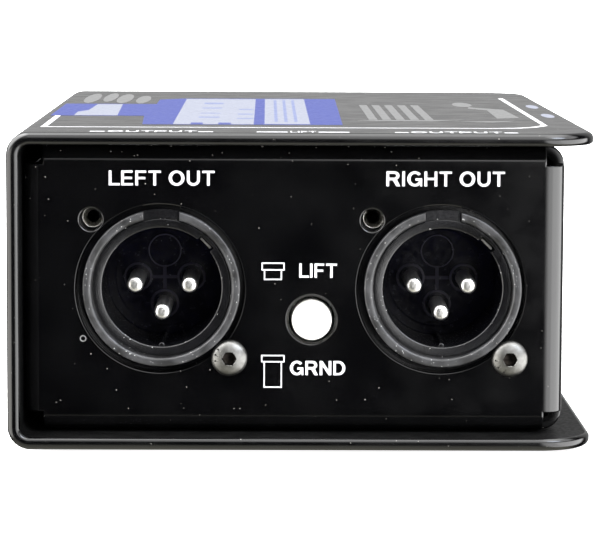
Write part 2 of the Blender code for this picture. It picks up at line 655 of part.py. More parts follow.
def transformer(side, x):
    """Isolation transformer: a wound coil on a laminated core, under an open-bottomed screening can."""
    at = group(f"{side}_transformer", (x, CAN_Y, BOARD_TOP))
    half_x, half_y = CAN_WIDTH / 2, CAN_DEPTH / 2
    high = (half_x, half_y, CAN_HEIGHT)
    can = box(f"{side}_transformer_can", (-half_x, -half_y, CLEAR), high, CAN_METAL, at)
    rounding = can.modifiers.new("corners", "BEVEL")
    rounding.width = 1.2 * MM
    rounding.segments = 3
    room_x, room_y, room_top = half_x - CAN_SHEET, half_y - CAN_SHEET, CAN_HEIGHT - CAN_SHEET
    cut(can, box(f"{side}_can_room", (-room_x, -room_y, -BEYOND), (room_x, room_y, room_top), parent=at))
    core_x, core_y = room_x - 0.6 * MM, room_y - 3.4 * MM
    high = (core_x, core_y, room_top - 0.5 * MM)
    core = box(f"{side}_transformer_core", (-core_x, -core_y, CLEAR), high, LAMINATION, at)
    high = (7.2 * MM, core_y + BEYOND, 14.6 * MM)
    cut(core, box(f"{side}_core_window", (-7.2 * MM, -core_y - BEYOND, 3.2 * MM), high, parent=at))
    coil_y = room_y - 0.5 * MM
    high = (6.9 * MM, coil_y, 14.3 * MM)
    coil = box(f"{side}_transformer_coil", (-6.9 * MM, -coil_y, 3.5 * MM), high, WINDING, at)
    soft_edges = coil.modifiers.new("soft_edges", "BEVEL")
    soft_edges.width = 1.5 * MM
    soft_edges.segments = 2


def pad_resistor(side, x):
    """Axial resistor of the pad, its leads bent down through the board."""
    at = group(f"{side}_pad", (x, RESISTOR_Y, BOARD_TOP))
    below = -BOARD_SHEET - LEAD_STICKS_OUT
    high = 1.7 * MM
    lead = 0.25
    half = [(0.0, 0.88), (1.9, 0.88), (2.5, 1.0), (3.1, 0.9), (3.3, lead), (5.1, lead)]
    right = [(across * MM, high, share) for across, share in half]
    right += [(RESISTOR_SPAN, high - 0.4 * MM, lead), (RESISTOR_SPAN, below, lead)]
    left = [(-across, z, share) for across, z, share in reversed(right[1:])]
    points = [(across, 0, z) for across, z, _ in left + right]
    shares = [share for _, _, share in left + right]
    wire(f"{side}_pad_resistor", points, 1.2 * MM, RESISTOR, at, shares)


def circuit_board():
    """Board that carries every connector, with a hole for each lead that passes through it."""
    low, high = (BOARD_LEFT, BOARD_FRONT, BOARD_TOP - BOARD_SHEET), (BOARD_RIGHT, BOARD_BACK, BOARD_TOP)
    board = box("circuit_board", low, high, BOARD_GREEN)
    below, above = low[2] - BEYOND, high[2] + BEYOND
    holes = []
    for side, x in xlr_places().items():
        for number, (across, _) in pin_places().items():
            centre = (x + XLR_SHIFT + across, -PANEL_Y - CUP_END + LEAD_BEHIND[number])
            holes.append(cylinder(f"{side}_lead_hole_{number}", centre, LEAD_HOLE, below, above, sides=8))
        for end, offset in (("left", -RESISTOR_SPAN), ("right", RESISTOR_SPAN)):
            centre = (math.copysign(CAN_X, x) + offset, RESISTOR_Y)
            name = f"{side}_resistor_hole_{end}"
            holes.append(cylinder(name, centre, RESISTOR_LEAD_HOLE, below, above, sides=8))
    half_x, half_y = CONTACT_WIDTH / 2 + 0.3 * MM, CONTACT_SHEET / 2 + 0.3 * MM
    for name, x in jack_places().items():
        for contact, z in (("tip", TIP_LEAD), ("sleeve", SLEEVE_LEAD)):
            y = PANEL_Y + z
            corners = (x - half_x, y - half_y, below), (x + half_x, y + half_y, above)
            holes.append(box(f"{name}_{contact}_slot_in_board", *corners))
    return cut_all(board, "board_holes", holes)


def panel_cutters():
    """Every hole in the front and rear panels."""
    reach = (-SHEET - BEYOND, BEYOND)
    front = group("front_panel", (0, -PANEL_Y, 0), FRONT)
    rear = group("rear_panel", (0, PANEL_Y, 0), REAR)
    made = [
        cylinder("lift_panel_hole", (LIFT_X, BUTTON_Z), BUTTON_HOLE, *reach, parent=front, sides=28),
        cylinder("pad_panel_hole", (-PANEL_MIDDLE_X, BUTTON_Z), BUTTON_HOLE, *reach, parent=rear, sides=28),
    ]
    for side, x in xlr_places().items():
        made.append(cylinder(f"{side}_panel_hole", (x, AXIS_Z), XLR_HOLE, *reach, parent=front, sides=48))
        for ear, across, up in (("used", EAR, -EAR), ("spare", -EAR, EAR)):
            centre = (x + across, AXIS_Z + up)
            made.append(cylinder(f"{side}_panel_{ear}_ear", centre, EAR_HOLE, *reach, parent=front, sides=16))
    for name, x in jack_places().items():
        made.append(cylinder(f"{name}_panel_hole", (-x, AXIS_Z), JACK_HOLE, *reach, parent=rear, sides=28))
    return made


def main():
    clear_scene()
    sleeve = outer_sleeve()
    chassis = inner_chassis()
    no_slip_pad()
    circuit_board()

    seats, chassis_holes = [], panel_cutters()
    for name, where in sleeve_screw_places():
        at = group(f"{name}_axis", where, DOWN)
        flat_head_screw(name, at)
        seats.append(countersink(f"{name}_seat", at))
        reach = (FLOOR - CHASSIS_LOW - SHEET - BEYOND, FLOOR - CHASSIS_LOW + CLEAR / 2)
        chassis_holes.append(cylinder(f"{name}_hole", (0, 0), SCREW_HOLE, *reach, parent=at, sides=16))
    cut_all(sleeve, "screw_seats", seats)
    cut_all(chassis, "chassis_holes", chassis_holes)

    for side, x in xlr_places().items():
        xlr_output(side, x)
        transformer(side, math.copysign(CAN_X, x))
        pad_resistor(side, math.copysign(CAN_X, x))
    for name, x in jack_places().items():
        jack(name, x)
    push_switch("ground_lift", group("ground_lift_switch", (LIFT_X, -PANEL_Y, BUTTON_Z), FRONT))
    push_switch("pad", group("pad_switch", (PANEL_MIDDLE_X, PANEL_Y, BUTTON_Z), REAR))


main()
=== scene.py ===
"""Looks of the stereo direct injection box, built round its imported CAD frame.

Metres, +Z up, the front panel towards -Y. Every piece is built in place, so its object sits at the origin.
"""

import math

import bmesh
import bpy
from mathutils import Matrix, Vector


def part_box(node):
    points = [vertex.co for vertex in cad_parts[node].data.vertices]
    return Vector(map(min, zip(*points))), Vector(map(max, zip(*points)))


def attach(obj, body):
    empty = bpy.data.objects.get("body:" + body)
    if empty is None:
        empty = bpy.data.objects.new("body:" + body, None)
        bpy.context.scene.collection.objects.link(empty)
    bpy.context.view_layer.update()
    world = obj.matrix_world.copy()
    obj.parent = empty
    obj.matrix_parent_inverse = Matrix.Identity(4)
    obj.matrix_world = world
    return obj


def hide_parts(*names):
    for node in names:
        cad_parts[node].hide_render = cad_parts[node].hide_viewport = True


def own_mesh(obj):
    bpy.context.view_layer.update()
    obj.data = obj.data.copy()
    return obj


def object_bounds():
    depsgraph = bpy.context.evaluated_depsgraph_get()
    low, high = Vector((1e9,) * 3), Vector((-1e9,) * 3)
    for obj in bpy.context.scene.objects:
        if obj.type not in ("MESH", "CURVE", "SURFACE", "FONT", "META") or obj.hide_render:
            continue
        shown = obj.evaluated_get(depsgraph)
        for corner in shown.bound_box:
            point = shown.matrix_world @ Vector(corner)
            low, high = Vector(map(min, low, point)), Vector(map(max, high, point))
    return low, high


MM = 0.001
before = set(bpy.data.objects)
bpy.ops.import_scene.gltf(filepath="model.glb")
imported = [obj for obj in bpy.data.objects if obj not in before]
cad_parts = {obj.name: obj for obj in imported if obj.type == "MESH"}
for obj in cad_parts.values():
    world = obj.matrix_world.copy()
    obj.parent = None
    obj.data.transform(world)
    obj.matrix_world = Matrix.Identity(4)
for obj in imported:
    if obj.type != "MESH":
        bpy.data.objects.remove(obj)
CAD_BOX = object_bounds()

BODY = "enclosure"
SIDES = ("left", "right")
JACKS = ("left_thru_jack", "left_input_jack", "right_input_jack", "right_thru_jack")
SLEEVE_SCREWS = [f"sleeve_screw_{end}_{side}" for end in ("front", "rear") for side in SIDES]
SLEEVE_LOW, SLEEVE_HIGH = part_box("outer_sleeve")
CHASSIS_LOW, CHASSIS_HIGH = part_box("inner_chassis")
FRONT_PANEL, REAR_PANEL = CHASSIS_LOW.y, CHASSIS_HIGH.y

# Sheet metal
SHEET = 1.8 * MM
SLEEVE_BEND = 3.3 * MM
SLEEVE_CORNER = 8.0 * MM
SLEEVE_ARRIS = (0.95 * MM, 0.6 * MM)  # rounding of a cut edge, outside and inside
CHASSIS_BEND = 2.8 * MM
CHASSIS_ARRIS = (0.3 * MM, 0.2 * MM)
PANEL_FLANGE = 9.0 * MM
WALL_FLANGE = 6.0 * MM
RELIEF = 0.3 * MM
BEND_STEPS = 12
BEYOND = 1.0 * MM  # how far a cutter reaches past the faces it opens
FILM = 0.02 * MM  # thickness of the printed ink

# Panel holes
XLR_HOLE = 12.1 * MM
XLR_HOLES_SHIFT = -0.2 * MM  # the holes sit this far left and down of the connectors
EAR = 9.95 * MM
EAR_HOLE = 1.6 * MM
BUTTON_HOLE = 3.3 * MM
JACK_HOLE = 5.0 * MM

# XLR connector, measured out of the panel along its own axis
COLLAR = 11.3 * MM
COLLAR_PROUD = 1.4 * MM
RIM = 10.05 * MM
RIM_FOOT = 0.1 * MM
GROOVE = 9.85 * MM
BORE = 8.6 * MM
XLR_FLOOR = -13.8 * MM
INSERT_SEAT = 9.2 * MM
CUP = 10.6 * MM
CUP_FRONT = -3.0 * MM
CUP_END = -18.4 * MM
EAR_PLATE = 12.7 * MM
EAR_PLATE_FRONT = -2.0 * MM
EAR_PLATE_BACK = -4.4 * MM
LATCH_HALF = 2.6 * MM
PIN = 1.2 * MM
PIN_CIRCLE = 3.95 * MM
PIN_TIP = -3.0 * MM
PIN_PLACES = {"1": (-PIN_CIRCLE, 0.0), "2": (PIN_CIRCLE, 0.0), "3": (0.0, -PIN_CIRCLE)}

# Rear jack
BUSHING = 4.7 * MM
JACK_BORE = 3.25 * MM
NUT_ACROSS_FLATS = 12.7 * MM

# Screws
SCREW_SHANK = 1.35 * MM
SCREW_LENGTH = 6.3 * MM
BUTTON_HEAD = 2.6 * MM
SOCKET_ACROSS_FLATS = 1.85 * MM
STAMPS = {"left": (140, 165, 190), "right": (185, 215, 245)}  # degrees round the screw's head
PAINT_CHIP = (-31.4 * MM, 16.5 * MM)  # where the front panel's paint has come off, across and up

FRONT_TURN = Matrix.Rotation(math.radians(90), 4, "X")  # local Z out of the front panel, local Y up
REAR_TURN = Matrix.Rotation(math.radians(180), 4, "Z") @ FRONT_TURN
DOWN_TURN = Matrix.Rotation(math.radians(180), 4, "X")


# ---------------------------------------------------------------- materials


class Nodes:
    """Shader nodes of one tree. An input is given as a value, or as the socket that feeds it."""

    def __init__(self, tree):
        self.tree = tree

    def node(self, kind, inputs, **settings):
        added = self.tree.nodes.new(kind)
        for name, value in settings.items():
            setattr(added, name, value)
        for socket, value in inputs.items():
            if isinstance(value, bpy.types.NodeSocket):
                self.tree.links.new(value, added.inputs[socket])
            elif value is not None:
                added.inputs[socket].default_value = value
        return added

    def vector(self, operation, first, second=None, scale=None):
        inputs = {0: first, 1: second, "Scale": scale}
        return self.node("ShaderNodeVectorMath", inputs, operation=operation).outputs["Vector"]

    def math(self, operation, first, second=None):
        return self.node("ShaderNodeMath", {0: first, 1: second}, operation=operation).outputs[0]

    def part(self, vector, axis):
        return self.node("ShaderNodeSeparateXYZ", {0: vector}).outputs[axis]

    def span(self, value, low, high, first=0.0, last=1.0):
        """Maps low..high smoothly to first..last, and holds it there outside."""
        inputs = {"Value": value, "From Min": low, "From Max": high, "To Min": first, "To Max": last}
        return self.node("ShaderNodeMapRange", inputs, interpolation_type="SMOOTHSTEP").outputs[0]


class Look(Nodes):
    """A procedural Principled material, patterned in millimetres of object space."""

    def __init__(self, name, **constants):
        self.material = bpy.data.materials.new(name)
        self.material.use_nodes = True
        super().__init__(self.material.node_tree)
        self.shader = self.tree.nodes["Principled BSDF"]
        for socket, value in constants.items():
            self.shader.inputs[socket.replace("_", " ")].default_value = value
        place = self.tree.nodes.new("ShaderNodeTexCoord").outputs["Object"]
        self.mm = self.vector("SCALE", place, scale=1 / MM)

    def noise(self, size, detail=3.0, roughness=0.55, stretch=(1, 1, 1)):
        """Noise whose features are about this many millimetres across."""
        inputs = {"Vector": self.vector("MULTIPLY", self.mm, stretch), "Scale": 1 / size}
        inputs.update(Detail=detail, Roughness=roughness)
        return self.node("ShaderNodeTexNoise", inputs).outputs[0]

    def mottle(self, size, low, high, first=0.0, last=1.0, detail=3.0):
        """Noise of this size, spread to run from first to last."""
        return self.span(self.noise(size, detail), low, high, first, last)

    def mix(self, share, first, second):
        inputs = {0: share, 6: first, 7: second}
        return self.node("ShaderNodeMix", inputs, data_type="RGBA").outputs[2]

    def along(self, axis):
        return self.part(self.mm, axis)

    def facing_up(self):
        normal = self.node("ShaderNodeNewGeometry", {}).outputs["Normal"]
        return self.span(self.part(normal, "Z"), 0.3, 0.9)

    def specks(self, spacing, radius, share):
        """Small round marks, one in some cells of this spacing, in millimetres. 1 on a mark."""
        inputs = {"Vector": self.mm, "Scale": 1 / spacing, "Randomness": 1.0}
        cells = self.node("ShaderNodeTexVoronoi", inputs)
        chosen = self.math("LESS_THAN", cells.outputs["Color"], share)
        reach = radius / spacing
        return self.math("MULTIPLY", self.span(cells.outputs["Distance"], reach, reach * 0.6), chosen)

    def bands(self, spacing, axis):
        """Soft bands across an axis, for the rows of a repeated pattern."""
        inputs = {"Vector": self.mm, "Scale": 1 / spacing / math.pi, "Distortion": 0.4, "Detail": 1.0}
        settings = {"wave_type": "BANDS", "bands_direction": axis, "wave_profile": "SIN"}
        return self.node("ShaderNodeTexWave", inputs, **settings).outputs["Fac"]

    def done(self, colour, roughness, height=None, depth=0.0):
        """Links colour and roughness, and a bump whose full height is depth millimetres."""
        self.tree.links.new(colour, self.shader.inputs["Base Color"])
        self.tree.links.new(roughness, self.shader.inputs["Roughness"])
        if height is not None:
            bump = self.node("ShaderNodeBump", {"Height": height, "Distance": depth * MM, "Strength": 1.0})
            self.tree.links.new(bump.outputs["Normal"], self.shader.inputs["Normal"])
        return self.material


def rgb(red, green, blue):
    return (red, green, blue, 1.0)


def black_paint():
    """Near-black gloss powder coat, with pale dust that lies mostly on the faces turned up."""
    look = Look("black_paint", Specular_IOR_Level=0.62)
    colour = look.mix(look.mottle(9.0, 0.35, 0.65), rgb(0.0006, 0.0006, 0.0008), rgb(0.0013, 0.0013, 0.0015))
    drift = look.mottle(14.0, 0.4, 0.6, 0.15, 1.0, detail=2.0)
    stuck = look.math("MAXIMUM", look.specks(1.3, 0.1, 0.4), look.specks(3.0, 0.16, 0.4))
    settled = look.math("MAXIMUM", look.specks(1.1, 0.12, 0.5), look.specks(2.3, 0.2, 0.3))
    settled = look.math("MULTIPLY", settled, look.facing_up())
    dust = look.math("MAXIMUM", look.math("MULTIPLY", stuck, drift), settled)
    colour = look.mix(dust, colour, rgb(0.2, 0.19, 0.17))
    lip = SLEEVE_HIGH.y / MM
    cut_edge = look.span(look.math("ABSOLUTE", look.along("Y")), lip - 0.7, lip, 0.0, 0.05)
    roughness = look.math("ADD", look.mottle(5.0, 0.3, 0.7, 0.11, 0.17), cut_edge)
    roughness = look.math("MAXIMUM", roughness, look.math("MULTIPLY", dust, 0.7))
    height = look.math("ADD", look.noise(1.6, 2.0), look.math("MULTIPLY", look.noise(0.25, 2.0), 0.25))
    return look.done(colour, roughness, height, 0.0015)


def xlr_plastic():
    """Black moulded plastic, smooth down in the connector, satin and scuffed on its raised rim, which is
    painted paler: partly wear, partly a painted highlight.
    """
    look = Look("xlr_plastic", Specular_IOR_Level=0.75)
    panel = FRONT_PANEL / MM
    worn_and_lit_rim = look.span(look.along("Y"), panel - 0.2, panel - 0.9)
    mottle = look.mottle(2.5, 0.3, 0.7, detail=4.0)
    colour = look.mix(mottle, rgb(0.001, 0.001, 0.0015), rgb(0.003, 0.003, 0.004))
    # the raised rim is coloured paler than the plastic down in the connector: partly wear, partly a painted
    # highlight
    colour = look.mix(look.math("MULTIPLY", worn_and_lit_rim, mottle), colour, rgb(0.025, 0.025, 0.027))
    plugged = look.span(look.along("Y"), panel + 2.0, panel + 0.5)
    patches = look.math("MULTIPLY", look.mottle(4.0, 0.44, 0.58), plugged)
    scuffs = look.math("MULTIPLY", look.specks(0.5, 0.085, 0.45), patches)
    colour = look.mix(scuffs, colour, rgb(0.4, 0.4, 0.39))
    deep = look.span(look.along("Y"), panel + 0.5, panel + 1.5, 0.22, 0.12)
    rim = look.mottle(0.8, 0.3, 0.7, 0.34, 0.48, detail=4.0)
    roughness = look.math("ADD", deep, look.math("MULTIPLY", look.math("SUBTRACT", rim, deep), worn_and_lit_rim))
    height = look.math("ADD", look.noise(0.14, 3.0), look.noise(0.6, 2.0))
    return look.done(colour, roughness, height, 0.014)


def insert_plastic():
    """Glossy blue-black plastic of the connector's floor, with a painted highlight on its raised parts
    against painted shade in the recesses.
    """
    look = Look("insert_plastic", Specular_IOR_Level=0.2)
    colour = look.mix(look.mottle(1.5, 0.3, 0.7), rgb(0.0005, 0.0005, 0.003), rgb(0.0012, 0.0012, 0.006))
    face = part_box("left_xlr_insert")[0].y / MM
    raised = look.span(look.along("Y"), face + 0.2, face + 0.06)
    # painted highlight: raised rings, boss and cross are coloured paler than the recesses, which stay dark as
    # painted shade
    colour = look.mix(raised, colour, rgb(0.011, 0.010, 0.018))
    roughness = look.mottle(0.9, 0.3, 0.7, 0.16, 0.28)
    return look.done(colour, roughness, look.noise(0.5, 2.0), 0.008)


def metal(name, dark, light, smooth, rough, grain, stretch=(1, 1, 1), depth=0.003):
    """Bare metal with a fine grain, which may be brushed along one axis."""
    look = Look(name, Metallic=1.0)
    tone = look.mottle(grain * 6, 0.3, 0.7)
    fine = look.noise(grain, 4.0, 0.65, stretch)
    colour = look.mix(tone, rgb(*dark), rgb(*light))
    colour = look.mix(look.span(fine, 0.68, 0.8), colour, rgb(*(0.6 * part for part in dark)))
    return look.done(colour, look.span(fine, 0.25, 0.75, smooth, rough), fine, depth)


def plastic(name, dark, light, smooth, rough, grain, depth, **constants):
    """Moulded plastic with a grain of its own."""
    look = Look(name, **constants)
    colour = look.mix(look.mottle(3.0, 0.3, 0.7, detail=4.0), rgb(*dark), rgb(*light))
    fine = look.noise(grain)
    return look.done(colour, look.span(fine, 0.3, 0.7, smooth, rough), fine, depth)


def rubber():
    """Matt black rubber with a cross-hatched face."""
    look = Look("rubber", Specular_IOR_Level=0.3)
    hatch = look.math("MULTIPLY", look.bands(0.9, "X"), look.bands(0.9, "Y"))
    colour = look.mix(look.noise(2.0, 4.0), rgb(0.010, 0.010, 0.010), rgb(0.022, 0.021, 0.020))
    height = look.math("ADD", hatch, look.math("MULTIPLY", look.noise(0.2), 0.4))
    return look.done(colour, look.span(hatch, 0.0, 1.0, 0.95, 0.78), height, 0.06)


def ink(name, dark, light):
    """Screen-printed ink, a little uneven, on the gloss of the paint."""
    look = Look(name, Specular_IOR_Level=0.5)
    colour = look.mix(look.mottle(0.5, 0.25, 0.6, detail=4.0), rgb(*dark), rgb(*light))
    return look.done(colour, look.mottle(0.7, 0.3, 0.7, 0.3, 0.42), look.noise(0.15, 2.0), 0.003)


def solder_mask():
    """Green solder mask over copper tracks, which show as slightly raised and paler lines."""
    look = Look("solder_mask", Specular_IOR_Level=0.5)
    inputs = {"Vector": look.mm, "Scale": 0.2, "Randomness": 0.35}
    cells = look.node("ShaderNodeTexVoronoi", inputs, feature="DISTANCE_TO_EDGE", distance="MANHATTAN")
    tracks = look.span(cells.outputs["Distance"], 0.12, 0.07)
    colour = look.mix(look.noise(8.0), rgb(0.006, 0.055, 0.022), rgb(0.010, 0.085, 0.034))
    colour = look.mix(tracks, colour, rgb(0.03, 0.19, 0.07))
    return look.done(colour, look.mottle(1.2, 0.3, 0.7, 0.28, 0.42), tracks, 0.03)


def laminations():
    """A stack of thin steel plates, seen on edge."""
    look = Look("laminations", Metallic=0.9)
    plates = look.bands(0.5, "Y")
    colour = look.mix(plates, rgb(0.045, 0.04, 0.036), rgb(0.22, 0.21, 0.2))
    colour = look.mix(look.mottle(4.0, 0.55, 0.75, detail=4.0), colour, rgb(0.16, 0.07, 0.03))
    return look.done(colour, look.mottle(0.8, 0.3, 0.7, 0.35, 0.6), plates, 0.08)


def enamelled_winding():
    """Fine enamelled wire under a turn of amber tape."""
    look = Look("enamelled_winding", Specular_IOR_Level=0.5)
    turns = look.bands(0.28, "X")
    colour = look.mix(turns, rgb(0.16, 0.05, 0.012), rgb(0.52, 0.24, 0.06))
    colour = look.mix(look.mottle(3.0, 0.45, 0.7), colour, rgb(0.45, 0.28, 0.08))
    return look.done(colour, look.span(turns, 0.0, 1.0, 0.5, 0.25), turns, 0.06)


def banded_resistor(centre_x):
    """Tan body with four colour bands, and tinned leads beyond it."""
    look = Look("banded_resistor", Specular_IOR_Level=0.5)
    across = look.math("SUBTRACT", look.along("X"), centre_x / MM)
    colour = look.mix(look.noise(0.8), rgb(0.42, 0.27, 0.13), rgb(0.55, 0.38, 0.2))
    bands = (
        (-2.4, (0.25, 0.08, 0.02)),
        (-1.2, (0.01, 0.01, 0.01)),
        (0.0, (0.6, 0.1, 0.01)),
        (2.4, (0.5, 0.33, 0.08)),
    )
    for place, tone in bands:
        away = look.math("ABSOLUTE", look.math("SUBTRACT", across, place))
        colour = look.mix(look.span(away, 0.34, 0.28), colour, rgb(*tone))
    lead = look.span(look.math("ABSOLUTE", across), 3.15, 3.3)
    colour = look.mix(lead, colour, rgb(0.5, 0.5, 0.49))
    return look.done(colour, look.mottle(0.6, 0.3, 0.7, 0.28, 0.45), look.noise(0.4), 0.02)


PAINT = black_paint()
THIN_PAINT = plastic(
    "thin_paint", (0.001, 0.001, 0.001), (0.004, 0.004, 0.004), 0.4, 0.55, 0.5, 0.004, Specular_IOR_Level=0.16
)
XLR_PLASTIC = xlr_plastic()
INSERT_PLASTIC = insert_plastic()
SILVER = metal("silver_plate", (0.86, 0.85, 0.82), (0.93, 0.92, 0.9), 0.26, 0.38, 0.18)
STAINLESS = metal("stainless", (0.16, 0.158, 0.15), (0.22, 0.218, 0.21), 0.34, 0.48, 0.12, depth=0.004)
# near-black steel for the inside of the hex sockets: painted shade
PAINTED_SHADE_STEEL = metal("painted_shade_steel", (0.012, 0.01, 0.009), (0.03, 0.026, 0.023), 0.3, 0.5, 0.12)
NICKEL = metal("nickel", (0.6, 0.59, 0.56), (0.72, 0.7, 0.67), 0.2, 0.36, 0.15)
SPRING_STEEL = metal("spring_steel", (0.42, 0.42, 0.42), (0.55, 0.55, 0.54), 0.24, 0.4, 0.2, (1, 0.2, 1))
CAN_METAL = metal("can_metal", (0.42, 0.42, 0.43), (0.55, 0.55, 0.56), 0.3, 0.5, 0.3, (1, 1, 0.1), 0.006)
JACK_PLASTIC = plastic("jack_plastic", (0.008, 0.008, 0.009), (0.016, 0.016, 0.017), 0.32, 0.5, 0.2, 0.01)
SWITCH_PLASTIC = plastic("switch_plastic", (0.2, 0.2, 0.2), (0.28, 0.28, 0.27), 0.4, 0.55, 0.25, 0.01)
BUTTON_PLASTIC = plastic("button_plastic", (0.62, 0.61, 0.565), (0.68, 0.67, 0.62), 0.24, 0.36, 0.3, 0.004)
RUBBER = rubber()
WHITE_INK = ink("white_ink", (0.48, 0.48, 0.5), (0.58, 0.58, 0.59))
PALE_INK = ink("pale_ink", (0.14, 0.15, 0.2), (0.19, 0.2, 0.24))
GREY_INK = ink("grey_ink", (0.085, 0.085, 0.085), (0.12, 0.12, 0.12))
BLUE_INK = ink("blue_ink", (0.016, 0.026, 0.14), (0.022, 0.034, 0.17))
PALE_BLUE_INK = ink("pale_blue_ink", (0.08, 0.1, 0.2), (0.12, 0.14, 0.24))


# ---------------------------------------------------------------- geometry


def degrees(start, stop, step):
    """Angles in radians, given in whole degrees like a range."""
    return [math.radians(one) for one in range(start, stop, step)]


def solid(name, bm, look=None, at=None, sharp=35):
    """Turns a bmesh into an object placed by a matrix, smooth across edges flatter than the sharp angle."""
    bmesh.ops.recalc_face_normals(bm, faces=bm.faces)
    if at is not None:
        bm.transform(at)
    mesh = bpy.data.meshes.new(name)
    bm.to_mesh(mesh)
    bm.free()
    obj = bpy.data.objects.new(name, mesh)
    bpy.context.scene.collection.objects.link(obj)
    if look:
        mesh.materials.append(look)
    mesh.shade_smooth()
    mesh.set_sharp_from_angle(angle=math.radians(sharp))
    return obj


def rounded(points, steps=4):
    """An outline with a curve at each point that has a third number, its rounding."""
    result = []
    count = len(points)
    for i, (first, second, *rounding) in enumerate(points):
        here = Vector((first, second))
        if not rounding:
            result.append(tuple(here))
            continue
        back, on = (Vector(points[(i + step) % count][:2]) - here for step in (-1, 1))
        start, end = here + back.normalized() * rounding[0], here + on.normalized() * rounding[0]
        for step in range(steps + 1):
            share = step / steps
            result.append(tuple(start.lerp(here, share).lerp(here.lerp(end, share), share)))
    return result


def turned(profile, steps=96, ring=False):
    """A bmesh of a profile of (radius, height) turned about Z. It closes on the axis, or as a ring."""
    bm = bmesh.new()
    rows = []
    for radius, height in profile:
        if radius < 1e-7:
            rows.append([bm.verts.new((0, 0, height))] * steps)
            continue
        angles = (math.tau * i / steps for i in range(steps))
        rows.append([bm.verts.new((radius * math.cos(a), radius * math.sin(a), height)) for a in angles])
    return skinned(bm, rows + (rows[:1] if ring else []))


def skinned(bm, rows):
    """Faces between rows of vertices that each go once round. A row may be one vertex repeated."""
    for near, far in zip(rows, rows[1:]):
        for i in range(len(near)):
            j = (i + 1) % len(near)
            corners = list(dict.fromkeys((near[i], near[j], far[j], far[i])))
            if len(corners) > 2:
                bm.faces.new(corners)
    return bm


def block(low, high, turn=0.0, bevel=0.0, segments=2):
    """A bmesh of a box between two corners, turned about Z, its edges rounded by bevel."""
    bm = bmesh.new()
    bmesh.ops.create_cube(bm, size=1.0)
    low, high = Vector(low), Vector(high)
    bm.transform(Matrix.Translation((low + high) / 2) @ Matrix.Diagonal((*(high - low), 1)))
    if bevel:
        bmesh.ops.bevel(bm, geom=bm.edges, offset=bevel, segments=segments, profile=0.5, affect="EDGES")
    bm.transform(Matrix.Rotation(turn, 4, "Z"))
    return bm


def extruded(bm, faces, height):
    """Extrudes these faces of a bmesh straight up."""
    lifted = bmesh.ops.extrude_face_region(bm, geom=faces)["geom"]
    verts = [part for part in lifted if isinstance(part, bmesh.types.BMVert)]
    bmesh.ops.translate(bm, verts=verts, vec=(0, 0, height))
    return bm


def prism(corners, low, high):
    """A bmesh of an outline of (x, y), from one height to another."""
    bm = bmesh.new()
    face = bm.faces.new([bm.verts.new((x, y, low)) for x, y in corners])
    return extruded(bm, [face], high - low)


def to_corner(across_flats):
    """Distance from a hexagon's middle to its corners."""
    return across_flats / 2 / math.cos(math.radians(30))


def hexagon(across_flats):
    """Outline of a hexagon, one corner to the right."""
    corner = to_corner(across_flats)
    return [(corner * math.cos(angle), corner * math.sin(angle)) for angle in degrees(0, 360, 60)]


def swept(points, radii, sides=24):
    """A bmesh of a round wire through points, with its own radius at each."""
    points = [Vector(point) for point in points]
    bm = bmesh.new()
    rows = []
    side = None
    for i, (point, radius) in enumerate(zip(points, radii)):
        along = (points[min(i + 1, len(points) - 1)] - points[max(i - 1, 0)]).normalized()
        if side is None:
            side = along.orthogonal()
        side = (side - along * side.dot(along)).normalized()
        other = along.cross(side)
        angles = (math.tau * j / sides for j in range(sides))
        ring = [point + radius * (side * math.cos(a) + other * math.sin(a)) for a in angles]
        rows.append([bm.verts.new(corner) for corner in ring])
    skinned(bm, rows)
    bm.faces.new(rows[0])
    bm.faces.new(reversed(rows[-1]))
    return bm


def combine(obj, operation, cutters):
    """Booleans the cutters into an object one after another, and removes them."""
    for cutter in cutters:
        boolean = obj.modifiers.new(cutter.name, "BOOLEAN")
        boolean.operation = operation
        boolean.object = cutter
    return applied(obj)


def applied(obj):
    """Replaces an object's mesh by what its modifiers make of it."""
    graph = bpy.context.evaluated_depsgraph_get()
    evaluated = obj.evaluated_get(graph)
    mesh = bpy.data.meshes.new_from_object(evaluated, preserve_all_data_layers=True, depsgraph=graph)
    cutters = [modifier.object for modifier in obj.modifiers if modifier.type == "BOOLEAN"]
    obj.modifiers.clear()
    obj.data = mesh
    for cutter in cutters:
        bpy.data.objects.remove(cutter, do_unlink=True)
    return obj


def rounded_edges(obj, width, segments, angle=50):
    """Rounds the edges that turn by more than this angle."""
    bevel = obj.modifiers.new("arris", "BEVEL")
    bevel.width = width
    bevel.segments = segments
    bevel.limit_method = "ANGLE"
    bevel.angle_limit = math.radians(angle)
    return applied(obj)


def even_shading(obj, sharp=35):
    """Smooth shading that keeps wide flat faces flat."""
    obj.data.shade_smooth()
    obj.data.set_sharp_from_angle(angle=math.radians(sharp))
    weighted = obj.modifiers.new("weighted", "WEIGHTED_NORMAL")
    weighted.keep_sharp = True
    weighted.weight = 100
    return applied(obj)


def peg(outline, steps, centre=(0, 0)):
    """A solid turned about an axis through a point, to cut with or to join on."""
    return solid("peg", turned(outline, steps), at=Matrix.Translation((*centre, 0)))


def stands_for(obj, slot, *nodes, body=BODY):
    """Attaches a piece to its body and hides the CAD nodes it stands for; the slot is not used."""
    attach(obj, body)
    if nodes:
        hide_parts(*nodes)
    return obj


def finished(obj, slot, *nodes, at=None, sharp=35, body=BODY):
    """Moves a piece built at the origin into place, and evens its shading."""
    if at is not None:
        obj.data.transform(at)
    return stands_for(even_shading(obj, sharp), slot, *nodes, body=body)


def middle(node):
    """Middle of a CAD node's box."""
    low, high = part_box(node)
    return (low + high) / 2


XLR_AXES = {side: middle(f"{side}_xlr_insert") for side in SIDES}


# ---------------------------------------------------------------- sheet metal


